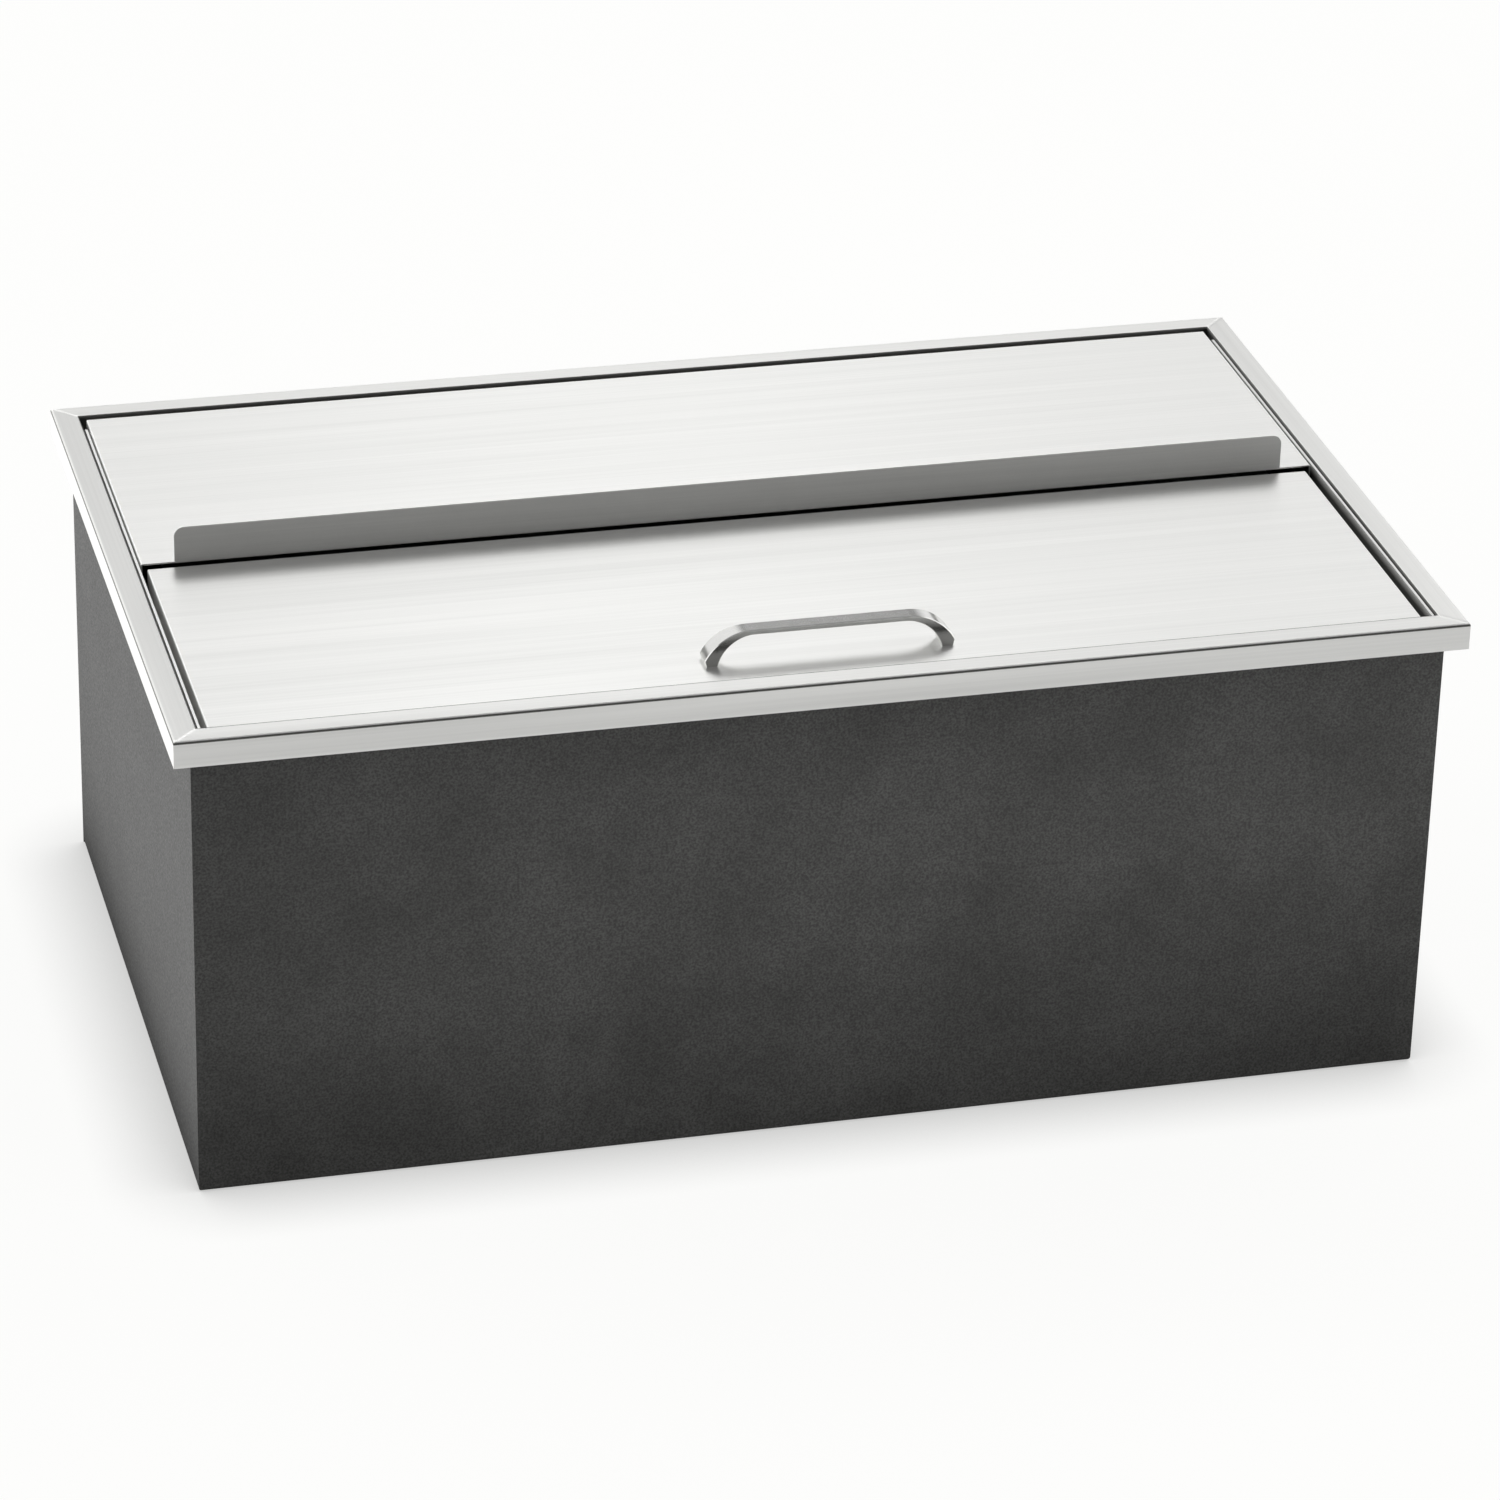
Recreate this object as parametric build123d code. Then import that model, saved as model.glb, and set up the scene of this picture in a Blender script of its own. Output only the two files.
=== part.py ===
from build123d import *
import math
import os

# Drop-in ice bin with two stainless covers, in millimetres.
# X runs to the right, Y to the back and Z up.
# The origin is on the resting plane, under the middle of the rim.

# Rim: one folded sheet section, mitred at the corners
RIM_LENGTH = 762.0
RIM_DEPTH = 465.0
RIM_TOP_HEIGHT = 298.0
RIM_SHEET = 1.2
RIM_FLANGE_WIDTH = 15.7
SKIRT_HEIGHT = 16.5
LEDGE_DROP = 16.2
LEDGE_WIDTH = 20.0
RIM_BEND_RADIUS = 1.5
INSIDE_BEND_RADIUS = 0.3

# Tub
LINER_SHEET = 1.0
LINER_FLANGE_WIDTH = 17.0
LINER_CORNER_RADIUS = 20.0
LINER_COVE_RADIUS = 12.0
FLOOR_EDGE_HEIGHT = 48.0
FLOOR_BORDER_WIDTH = 4.0
SUMP_HEIGHT = 40.0
SUMP_SIDE = 120.0

# Casing
CASING_INSET = 11.0
CASING_SHEET = 1.2
CASING_BEND_RADIUS = 3.0
CASING_FLANGE_WIDTH = 15.0
CASING_RETURN_WIDTH = 20.0
BACK_FLANGE_END_GAP = 4.0

# Rivets up the back corners of the casing
RIVET_COUNT = 3
RIVET_END_GAP = 14.0
RIVET_SHANK_RADIUS = 2.0
RIVET_HEAD_RADIUS = 4.0
RIVET_HEAD_HEIGHT = 1.6
RIVET_TAIL_RADIUS = 2.8
RIVET_TAIL_LENGTH = 3.0
RIVET_HOLE_CLEARANCE = 0.05

# Base panel and its countersunk screws
BASE_SHEET = 1.2
BASE_PANEL_CLEARANCE = 0.3
SCREW_COLUMNS = 3
SCREW_COLUMN_SPACING = 280.0
BASE_SCREW_RADIUS = 2.0
BASE_SCREW_HEAD_RADIUS = 4.0
BASE_SCREW_LENGTH = 9.0
BASE_SCREW_CLEARANCE = 0.05
SCREW_POCKET_CLEARANCE = 0.6

# Foam strip between the skirt and the casing
GASKET_CLEARANCE = 0.1

# Guide strips down the sides of the opening, which stand off the wall at their top
GUIDE_THICKNESS = 1.5
GUIDE_CREVICE_WIDTH = 0.8
GUIDE_CREVICE_DEPTH = 6.0
GUIDE_TOP_DROP = 1.0
GUIDE_FRONT_GAP = 0.5
GUIDE_BACK_GAP = 15.0
GUIDE_END_RADIUS = 3.0

# Drain set
DRAIN_FLANGE_RADIUS = 32.0
DRAIN_FLANGE_THICKNESS = 2.0
DRAIN_SEAT_RADIUS = 23.0
DRAIN_SEAT_DEPTH = 4.0
DRAIN_STEP_WIDTH = 3.0
DRAIN_CUP_WALL = 2.0
DRAIN_CUP_FLOOR = 2.5
DRAIN_BORE_RADIUS = 12.7
DRAIN_TAIL_RADIUS = 16.7
DRAIN_TAIL_END_HEIGHT = 3.0
DRAIN_HOLE_CLEARANCE = 1.0
DRAIN_GASKET_THICKNESS = 1.5
DRAIN_GASKET_CLEARANCE = 0.5
DRAIN_WASHER_RADIUS = 34.0
DRAIN_WASHER_THICKNESS = 2.5
LOCKNUT_ACROSS_FLATS = 66.0
LOCKNUT_THICKNESS = 6.0
LOCKNUT_CORNER_CHAMFER = 1.5
THREAD_FIT = 0.05
LOCKNUT_FACE_GAP = 3.0
DRAIN_WELL_SIDE = 90.0

# Strainer that lifts out of the drain
STRAINER_SHEET = 1.2
STRAINER_CLEARANCE = 0.5
STRAINER_HOLE_RADIUS = 2.4
STRAINER_RING_RADII = (9.5, 16.5)
STRAINER_RING_COUNTS = (5, 9)
STRAINER_STEM_RADIUS = 2.0
STRAINER_STEM_HEIGHT = 5.0
STRAINER_KNOB_RADIUS = 5.0
STRAINER_KNOB_HEIGHT = 4.0

# Covers
COVER_SHEET = 0.9
COVER_BEND_RADIUS = 1.2
FRONT_EDGE_GAP = 3.5
SEAT_CLEARANCE = 0.3

REAR_SIDE_GAP = 3.4
REAR_BACK_GAP = 3.5
REAR_TOP_DROP = 0.5
REAR_RETURN_WIDTH = 10.0
LIP_HEIGHT = 22.0
LIP_END_INSET = 20.0
LIP_CORNER_RADIUS = 6.0
LIP_BEND_RADIUS = 1.0

FRONT_SIDE_GAP = 7.0
FRONT_REST_SHIFT = 0.5
FRONT_SEAM_GAP = 2.5
FRONT_UNDER_GAP = 1.2
FRONT_SIDE_RETURN = 18.0
FRONT_END_RETURN = 10.0

# Plastic glides under the front cover
GLIDE_THICKNESS = 1.5
GLIDE_WIDTH = 13.0
GLIDE_END_INSET = 8.0
GLIDE_RIB_THICKNESS = 2.2
GLIDE_RIB_DEPTH = 4.0
GLIDE_PLAY = 1.4
GLIDE_RIB_END_GAP = 1.5

# Bow handle: a flat bar on two arched legs with a low heel
HANDLE_HOLE_SPACING = 139.7
HANDLE_FOOT_LENGTH = 7.0
HANDLE_FOOT_DEPTH = 12.6
HANDLE_BAR_DEPTH = 9.8
HANDLE_HEIGHT = 20.2
HANDLE_BAR_THICKNESS = 3.1
HANDLE_OUTER_ARC_RADIUS = 30.2
HANDLE_INNER_ARC_RADIUS = 22.2
HANDLE_HEEL_HEIGHT = 3.6
HANDLE_HEEL_WIDTH = 0.9
HANDLE_EDGE_CHAMFER = 0.4
HANDLE_INSET = 25.1
HANDLE_OFFSET = 6.0

# Screws and washers that hold the handle from below
HANDLE_SCREW_RADIUS = 2.0
HANDLE_SCREW_HEAD_RADIUS = 3.8
HANDLE_SCREW_HEAD_HEIGHT = 2.6
HANDLE_SCREW_REACH = 4.5
HANDLE_TAP_DEPTH = 5.5
HANDLE_WASHER_RADIUS = 6.0
HANDLE_WASHER_THICKNESS = 1.0
HANDLE_HOLE_CLEARANCE = 0.3

# Heights and faces that follow from the sizes above
OPENING_LENGTH = RIM_LENGTH - 2 * RIM_FLANGE_WIDTH
OPENING_DEPTH = RIM_DEPTH - 2 * RIM_FLANGE_WIDTH
SKIRT_BOTTOM = RIM_TOP_HEIGHT - SKIRT_HEIGHT
RIM_UNDERSIDE = RIM_TOP_HEIGHT - RIM_SHEET
LEDGE_TOP = RIM_TOP_HEIGHT - LEDGE_DROP
LEDGE_UNDERSIDE = LEDGE_TOP - RIM_SHEET

TUB_LENGTH = OPENING_LENGTH - 2 * LEDGE_WIDTH
TUB_DEPTH = OPENING_DEPTH - 2 * LEDGE_WIDTH
DISH_LENGTH = TUB_LENGTH - 2 * (LINER_COVE_RADIUS + FLOOR_BORDER_WIDTH)
DISH_DEPTH = TUB_DEPTH - 2 * (LINER_COVE_RADIUS + FLOOR_BORDER_WIDTH)
TUB_FLANGE_UNDERSIDE = LEDGE_UNDERSIDE - LINER_SHEET
SUMP_UNDERSIDE = SUMP_HEIGHT - LINER_SHEET

CASING_LENGTH = RIM_LENGTH - 2 * CASING_INSET
CASING_DEPTH = RIM_DEPTH - 2 * CASING_INSET
CASING_INNER_X = CASING_LENGTH / 2 - CASING_SHEET
CASING_INNER_Y = CASING_DEPTH / 2 - CASING_SHEET
BASE_PANEL_TOP = CASING_SHEET + BASE_SHEET

REAR_COVER_LENGTH = OPENING_LENGTH - 2 * REAR_SIDE_GAP
REAR_COVER_DEPTH = OPENING_DEPTH / 2 - REAR_BACK_GAP
REAR_COVER_TOP = RIM_TOP_HEIGHT - REAR_TOP_DROP
REAR_COVER_UNDERSIDE = REAR_COVER_TOP - COVER_SHEET
REAR_FLANGE_BOTTOM = LEDGE_TOP + SEAT_CLEARANCE

FRONT_COVER_LENGTH = OPENING_LENGTH - 2 * FRONT_SIDE_GAP
FRONT_COVER_DEPTH = OPENING_DEPTH / 2 - FRONT_EDGE_GAP - FRONT_SEAM_GAP
FRONT_COVER_FRONT_Y = FRONT_EDGE_GAP - OPENING_DEPTH / 2
FRONT_COVER_CENTRE_Y = FRONT_COVER_FRONT_Y + FRONT_COVER_DEPTH / 2
FRONT_COVER_TOP = REAR_COVER_UNDERSIDE - FRONT_UNDER_GAP
FRONT_COVER_UNDERSIDE = FRONT_COVER_TOP - COVER_SHEET
GLIDE_BOTTOM = LEDGE_TOP + SEAT_CLEARANCE
FRONT_PAN_BOTTOM = GLIDE_BOTTOM + GLIDE_THICKNESS
FRONT_PAN_HEIGHT = FRONT_COVER_TOP - FRONT_PAN_BOTTOM

HANDLE_X = HANDLE_OFFSET - FRONT_REST_SHIFT
HANDLE_Y = FRONT_COVER_FRONT_Y + HANDLE_INSET
HANDLE_OUTER_FOOT = (HANDLE_HOLE_SPACING + HANDLE_FOOT_LENGTH) / 2
HANDLE_INNER_FOOT = HANDLE_OUTER_FOOT - HANDLE_FOOT_LENGTH
HANDLE_HEEL = HANDLE_OUTER_FOOT + HANDLE_HEEL_WIDTH
FRONT_COVER_TRAVEL = -(HANDLE_Y + HANDLE_FOOT_DEPTH / 2) - SEAT_CLEARANCE

DRAIN_FLANGE_BOTTOM = SUMP_HEIGHT + DRAIN_GASKET_THICKNESS
DRAIN_FLANGE_TOP = DRAIN_FLANGE_BOTTOM + DRAIN_FLANGE_THICKNESS
DRAIN_SEAT_HEIGHT = DRAIN_FLANGE_TOP - DRAIN_SEAT_DEPTH
DRAIN_CUP_RADIUS = DRAIN_SEAT_RADIUS + DRAIN_CUP_WALL
DRAIN_STEP_RADIUS = DRAIN_SEAT_RADIUS - DRAIN_STEP_WIDTH
WASHER_BOTTOM = SUMP_UNDERSIDE - DRAIN_WASHER_THICKNESS
LOCKNUT_BOTTOM = WASHER_BOTTOM - LOCKNUT_THICKNESS
DRAIN_CUP_BOTTOM = LOCKNUT_BOTTOM - LOCKNUT_FACE_GAP


def block(x_range, y_range, z_range):
    """A box between two corners."""
    low = [min(side) for side in (x_range, y_range, z_range)]
    high = [max(side) for side in (x_range, y_range, z_range)]
    size = [top - bottom for bottom, top in zip(low, high)]
    return Pos(*low) * Box(*size, align=(Align.MIN, Align.MIN, Align.MIN))


def centred_block(length, depth, bottom, top):
    """A box centred on the Z axis."""
    return block((-length / 2, length / 2), (-depth / 2, depth / 2), (bottom, top))


def upright_cylinder(radius, bottom, top, x=0.0, y=0.0):
    """A cylinder that stands on a height."""
    height = top - bottom
    base = (Align.CENTER, Align.CENTER, Align.MIN)
    return Pos(x, y, bottom) * Cylinder(radius, height, align=base)


def ring(outer_radius, inner_radius, bottom, top):
    """A flat washer on the Z axis."""
    disc = upright_cylinder(outer_radius, bottom, top)
    return disc - upright_cylinder(inner_radius, bottom, top)


def round_corners(face, corners, radius):
    """Rounds the corners of a flat outline that lie at the given points."""
    chosen = []
    for corner in corners:
        nearest = face.vertices().sort_by_distance(Vector(*corner))[0]
        chosen.append(nearest)
    return fillet(chosen, radius)


def rim_section():
    """The folded section of the rim at the middle of its front side, seen from the right."""
    front = -RIM_DEPTH / 2
    wall = front + RIM_FLANGE_WIDTH
    ledge_end = wall + LEDGE_WIDTH
    skirt_top = (0, front, RIM_TOP_HEIGHT)
    wall_top = (0, wall, RIM_TOP_HEIGHT)
    wall_foot = (0, wall, LEDGE_TOP)
    wall_back_foot = (0, wall - RIM_SHEET, LEDGE_UNDERSIDE)
    wall_back_top = (0, wall - RIM_SHEET, RIM_UNDERSIDE)
    skirt_back_top = (0, front + RIM_SHEET, RIM_UNDERSIDE)
    outline = Polyline(
        (0, front, SKIRT_BOTTOM),
        skirt_top,
        wall_top,
        wall_foot,
        (0, ledge_end, LEDGE_TOP),
        (0, ledge_end, LEDGE_UNDERSIDE),
        wall_back_foot,
        wall_back_top,
        skirt_back_top,
        (0, front + RIM_SHEET, SKIRT_BOTTOM),
        close=True,
    )
    section = make_face(outline)
    section = round_corners(section, (skirt_top, wall_top, wall_back_foot), RIM_BEND_RADIUS)
    return round_corners(section, (wall_foot, wall_back_top, skirt_back_top), INSIDE_BEND_RADIUS)


def make_rim_frame():
    """The folded section carried round the rectangle of the rim, with mitred corners."""
    half_length = RIM_LENGTH / 2
    half_depth = RIM_DEPTH / 2
    path = Polyline(
        (0, -half_depth, RIM_TOP_HEIGHT),
        (half_length, -half_depth, RIM_TOP_HEIGHT),
        (half_length, half_depth, RIM_TOP_HEIGHT),
        (-half_length, half_depth, RIM_TOP_HEIGHT),
        (-half_length, -half_depth, RIM_TOP_HEIGHT),
        close=True,
    )
    return sweep(rim_section(), path=path, transition=Transition.RIGHT)


def tub_solid(growth):
    """The tub's hollow, grown outwards and downwards by a sheet's thickness.

    The walls meet a level border in a cove, and four flat falls inside it lead to the sump.
    """
    length = TUB_LENGTH + 2 * growth
    depth = TUB_DEPTH + 2 * growth
    corner = LINER_CORNER_RADIUS + growth
    edge_height = FLOOR_EDGE_HEIGHT - growth
    sump_height = SUMP_HEIGHT - growth
    mouth = RectangleRounded(length, depth, corner)
    walls = extrude(Pos(0, 0, edge_height) * mouth, LEDGE_UNDERSIDE - edge_height)
    floor_edges = walls.edges().filter_by_position(Axis.Z, edge_height, edge_height)
    walls = fillet(floor_edges, LINER_COVE_RADIUS + growth)
    sump = Pos(0, 0, sump_height) * Rectangle(SUMP_SIDE, SUMP_SIDE)
    dish_edge = Pos(0, 0, edge_height) * Rectangle(DISH_LENGTH, DISH_DEPTH)
    return walls + loft([sump, dish_edge], ruled=True)


def make_inner_liner():
    """The welded tub, with its flange under the ledge and the drain hole in its sump."""
    tub = tub_solid(LINER_SHEET)
    flange = centred_block(
        TUB_LENGTH + 2 * LINER_FLANGE_WIDTH,
        TUB_DEPTH + 2 * LINER_FLANGE_WIDTH,
        TUB_FLANGE_UNDERSIDE,
        LEDGE_UNDERSIDE,
    )
    hole = upright_cylinder(DRAIN_CUP_RADIUS + DRAIN_HOLE_CLEARANCE, SUMP_UNDERSIDE, SUMP_HEIGHT)
    return tub + flange - tub_solid(0.0) - hole


def make_rear_guide(side):
    """A strip down the rim's inner wall that keeps the rear cover in line."""
    wall = side * OPENING_LENGTH / 2
    raised_face = wall - side * GUIDE_CREVICE_WIDTH
    guiding_face = raised_face - side * GUIDE_THICKNESS
    length = (GUIDE_FRONT_GAP - OPENING_DEPTH / 2, OPENING_DEPTH / 2 - GUIDE_BACK_GAP)
    bottom = LEDGE_TOP + INSIDE_BEND_RADIUS
    top = RIM_TOP_HEIGHT - GUIDE_TOP_DROP
    strip = block((wall, guiding_face), length, (bottom, top))
    strip -= block((wall, raised_face), length, (top - GUIDE_CREVICE_DEPTH, top))
    top_ends = strip.edges().filter_by(Axis.X).filter_by_position(Axis.Z, top, top)
    return fillet(top_ends.sort_by(Axis.Y)[-1], GUIDE_END_RADIUS)


def make_counter_gasket():
    """The foam strip that fills the channel between the skirt and the casing."""
    reach = 2 * (RIM_SHEET + INSIDE_BEND_RADIUS + GASKET_CLEARANCE)
    outer = centred_block(RIM_LENGTH - reach, RIM_DEPTH - reach, SKIRT_BOTTOM, RIM_UNDERSIDE)
    inner_length = CASING_LENGTH + 2 * GASKET_CLEARANCE
    inner_depth = CASING_DEPTH + 2 * GASKET_CLEARANCE
    return outer - centred_block(inner_length, inner_depth, SKIRT_BOTTOM, RIM_UNDERSIDE)


def rivet_places():
    """The rivets' places up both back corners, as X and Z."""
    lowest = SUMP_UNDERSIDE + RIVET_END_GAP
    highest = SKIRT_BOTTOM - RIVET_END_GAP
    rise = (highest - lowest) / (RIVET_COUNT - 1)
    x = CASING_INNER_X - CASING_RETURN_WIDTH / 2
    heights = [lowest + rise * step for step in range(RIVET_COUNT)]
    return [(side * x, height) for side in (-1, 1) for height in heights]


def back_cylinder(radius, x, z, y_front, y_back):
    """A cylinder along Y between two depths."""
    disc = Plane(origin=(x, y_front, z), z_dir=(0, 1, 0)) * Circle(radius)
    return extrude(disc, y_back - y_front)


def rivet_holes():
    """Clearance for the rivets' shanks through the back panel and the returns."""
    radius = RIVET_SHANK_RADIUS + RIVET_HOLE_CLEARANCE
    front = CASING_INNER_Y - CASING_SHEET - RIVET_TAIL_LENGTH
    back = CASING_DEPTH / 2
    return [back_cylinder(radius, x, z, front, back) for x, z in rivet_places()]


def base_screw_places():
    """The base screws' places through the casing's bottom flanges, as X and Y."""
    y_edge = CASING_INNER_Y - CASING_FLANGE_WIDTH / 2
    first = -(SCREW_COLUMNS - 1) / 2 * SCREW_COLUMN_SPACING
    columns = [first + SCREW_COLUMN_SPACING * step for step in range(SCREW_COLUMNS)]
    return [(x, side * y_edge) for side in (-1, 1) for x in columns]


def base_screw(x, y, clearance):
    """A countersunk screw that points up, or its hole where the clearance is more than nothing."""
    radius = BASE_SCREW_RADIUS + clearance
    head_radius = BASE_SCREW_HEAD_RADIUS + clearance
    head_height = BASE_SCREW_HEAD_RADIUS - BASE_SCREW_RADIUS
    base = (Align.CENTER, Align.CENTER, Align.MIN)
    head = Pos(x, y, 0) * Cone(head_radius, radius, head_height, align=base)
    return head + upright_cylinder(radius, 0, BASE_SCREW_LENGTH + clearance, x, y)


def base_screw_holes():
    """Holes for all the base screws."""
    return [base_screw(x, y, BASE_SCREW_CLEARANCE) for x, y in base_screw_places()]


def make_casing_wrap():
    """Front and sides in one folded sheet, with bottom flanges and returns at the back corners."""
    back = CASING_INNER_Y
    front = -CASING_DEPTH / 2
    half_length = CASING_LENGTH / 2
    wrap = block((-half_length, half_length), (front, back), (0, RIM_UNDERSIDE))
    low_edges = wrap.edges().filter_by_position(Axis.Z, 0, 0)
    back_low_edge = low_edges.sort_by(Axis.Y)[-1]
    wrap = fillet(low_edges - [back_low_edge], CASING_BEND_RADIUS)
    inner_x = (-CASING_INNER_X, CASING_INNER_X)
    hollow = block(inner_x, (-CASING_INNER_Y, back - CASING_SHEET), (CASING_SHEET, RIM_UNDERSIDE))
    return_end = CASING_INNER_X - CASING_RETURN_WIDTH
    back_way = block((-return_end, return_end), (back - CASING_SHEET, back), (0, RIM_UNDERSIDE))
    flange_x = CASING_INNER_X - CASING_FLANGE_WIDTH
    flange_y = CASING_INNER_Y - CASING_FLANGE_WIDTH
    floor_way = block((-flange_x, flange_x), (-flange_y, back), (0, CASING_SHEET))
    return wrap - hollow - back_way - floor_way - rivet_holes() - base_screw_holes()


def make_casing_back_panel():
    """The flat back of the casing, with a flange turned in at the bottom."""
    half_length = CASING_LENGTH / 2
    back = CASING_DEPTH / 2
    sheet = block((-half_length, half_length), (CASING_INNER_Y, back), (0, RIM_UNDERSIDE))
    flange_end = CASING_INNER_X - CASING_RETURN_WIDTH - BACK_FLANGE_END_GAP
    flange_front = CASING_INNER_Y - CASING_FLANGE_WIDTH
    flange = block((-flange_end, flange_end), (flange_front, back), (0, CASING_SHEET))
    return sheet + flange - rivet_holes() - base_screw_holes()


def make_casing_rivets():
    """Blind rivets through the back panel and the wrap's returns."""
    back = CASING_DEPTH / 2
    inside = CASING_INNER_Y - CASING_SHEET
    rivets = []
    for x, z in rivet_places():
        shank = back_cylinder(RIVET_SHANK_RADIUS, x, z, inside, back)
        head = back_cylinder(RIVET_HEAD_RADIUS, x, z, back, back + RIVET_HEAD_HEIGHT)
        crown = head.edges().sort_by(Axis.Y)[-1]
        head = chamfer(crown, RIVET_HEAD_HEIGHT / 2)
        tail = back_cylinder(RIVET_TAIL_RADIUS, x, z, inside - RIVET_TAIL_LENGTH, inside)
        rivets.append(shank + head + tail)
    return Compound(children=rivets)


def make_base_panel():
    """The sheet that closes the casing below, on top of the flanges."""
    length = 2 * (CASING_INNER_X - BASE_PANEL_CLEARANCE)
    depth = 2 * (CASING_INNER_Y - CASING_SHEET - BASE_PANEL_CLEARANCE)
    sheet = centred_block(length, depth, CASING_SHEET, BASE_PANEL_TOP)
    well = centred_block(DRAIN_WELL_SIDE, DRAIN_WELL_SIDE, CASING_SHEET, BASE_PANEL_TOP)
    return sheet - well - base_screw_holes()


def make_base_screws():
    """The countersunk screws, flush with the casing's bottom flanges."""
    return Compound(children=[base_screw(x, y, 0.0) for x, y in base_screw_places()])


def make_base_insulation():
    """The foam board under the tub, with a well round the drain and pockets for the screws."""
    length = 2 * CASING_INNER_X
    depth = 2 * (CASING_INNER_Y - CASING_SHEET)
    board = centred_block(length, depth, BASE_PANEL_TOP, SUMP_UNDERSIDE)
    well = centred_block(DRAIN_WELL_SIDE, DRAIN_WELL_SIDE, BASE_PANEL_TOP, SUMP_UNDERSIDE)
    pocket_side = 2 * (BASE_SCREW_RADIUS + SCREW_POCKET_CLEARANCE)
    pocket_top = BASE_SCREW_LENGTH + SCREW_POCKET_CLEARANCE
    pocket = centred_block(pocket_side, pocket_side, BASE_PANEL_TOP, pocket_top)
    pockets = [Pos(x, y, 0) * pocket for x, y in base_screw_places()]
    return board - well - pockets


def make_long_insulation(side):
    """The foam board in front of the tub or behind it."""
    tub_face = side * (TUB_DEPTH / 2 + LINER_SHEET)
    casing_face = side * CASING_INNER_Y
    half_length = CASING_INNER_X
    if side > 0:
        half_length = CASING_INNER_X - CASING_RETURN_WIDTH - BACK_FLANGE_END_GAP
    z_range = (SUMP_UNDERSIDE, TUB_FLANGE_UNDERSIDE)
    return block((-half_length, half_length), (tub_face, casing_face), z_range)


def make_end_insulation(side):
    """The foam board at the left or right end of the tub."""
    tub_face = side * (TUB_LENGTH / 2 + LINER_SHEET)
    casing_face = side * CASING_INNER_X
    front = -(TUB_DEPTH / 2 + LINER_SHEET)
    back = CASING_INNER_Y - CASING_SHEET - RIVET_TAIL_LENGTH - SEAT_CLEARANCE
    z_range = (SUMP_UNDERSIDE, TUB_FLANGE_UNDERSIDE)
    return block((tub_face, casing_face), (front, back), z_range)


def make_drain_body():
    """The flanged drain cup with its step for the strainer and its threaded tail."""
    half_section = Polyline(
        (DRAIN_BORE_RADIUS, 0, DRAIN_TAIL_END_HEIGHT),
        (DRAIN_TAIL_RADIUS, 0, DRAIN_TAIL_END_HEIGHT),
        (DRAIN_TAIL_RADIUS, 0, DRAIN_CUP_BOTTOM),
        (DRAIN_CUP_RADIUS, 0, DRAIN_CUP_BOTTOM),
        (DRAIN_CUP_RADIUS, 0, DRAIN_FLANGE_BOTTOM),
        (DRAIN_FLANGE_RADIUS, 0, DRAIN_FLANGE_BOTTOM),
        (DRAIN_FLANGE_RADIUS, 0, DRAIN_FLANGE_TOP),
        (DRAIN_SEAT_RADIUS, 0, DRAIN_FLANGE_TOP),
        (DRAIN_SEAT_RADIUS, 0, DRAIN_SEAT_HEIGHT),
        (DRAIN_STEP_RADIUS, 0, DRAIN_SEAT_HEIGHT),
        (DRAIN_STEP_RADIUS, 0, DRAIN_CUP_BOTTOM + DRAIN_CUP_FLOOR),
        (DRAIN_BORE_RADIUS, 0, DRAIN_CUP_BOTTOM + DRAIN_CUP_FLOOR),
        close=True,
    )
    body = revolve(make_face(half_section), axis=Axis.Z)
    top_rings = body.edges().filter_by_position(Axis.Z, DRAIN_FLANGE_TOP, DRAIN_FLANGE_TOP)
    flange_rim = top_rings.sort_by(SortBy.RADIUS)[-1]
    return chamfer(flange_rim, DRAIN_FLANGE_THICKNESS / 2)


def make_drain_flange_gasket():
    """The rubber ring between the drain's flange and the sump."""
    inner = DRAIN_CUP_RADIUS + DRAIN_GASKET_CLEARANCE
    return ring(DRAIN_FLANGE_RADIUS - DRAIN_GASKET_CLEARANCE, inner, SUMP_HEIGHT, DRAIN_FLANGE_BOTTOM)


def make_drain_under_washer():
    """The rubber washer under the sump."""
    inner = DRAIN_CUP_RADIUS + DRAIN_GASKET_CLEARANCE
    return ring(DRAIN_WASHER_RADIUS, inner, WASHER_BOTTOM, SUMP_UNDERSIDE)


def make_drain_locknut():
    """The hexagonal nut that clamps the drain to the sump."""
    hexagon = RegularPolygon(LOCKNUT_ACROSS_FLATS / 2, 6, major_radius=False)
    nut = extrude(Pos(0, 0, LOCKNUT_BOTTOM) * hexagon, LOCKNUT_THICKNESS)
    corner_radius = LOCKNUT_ACROSS_FLATS / 2 / math.cos(math.radians(30))
    turned = upright_cylinder(corner_radius, LOCKNUT_BOTTOM, WASHER_BOTTOM)
    turned = chamfer(turned.edges().filter_by(GeomType.CIRCLE), LOCKNUT_CORNER_CHAMFER)
    thread = upright_cylinder(DRAIN_CUP_RADIUS + THREAD_FIT, LOCKNUT_BOTTOM, WASHER_BOTTOM)
    return (nut & turned) - thread


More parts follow.
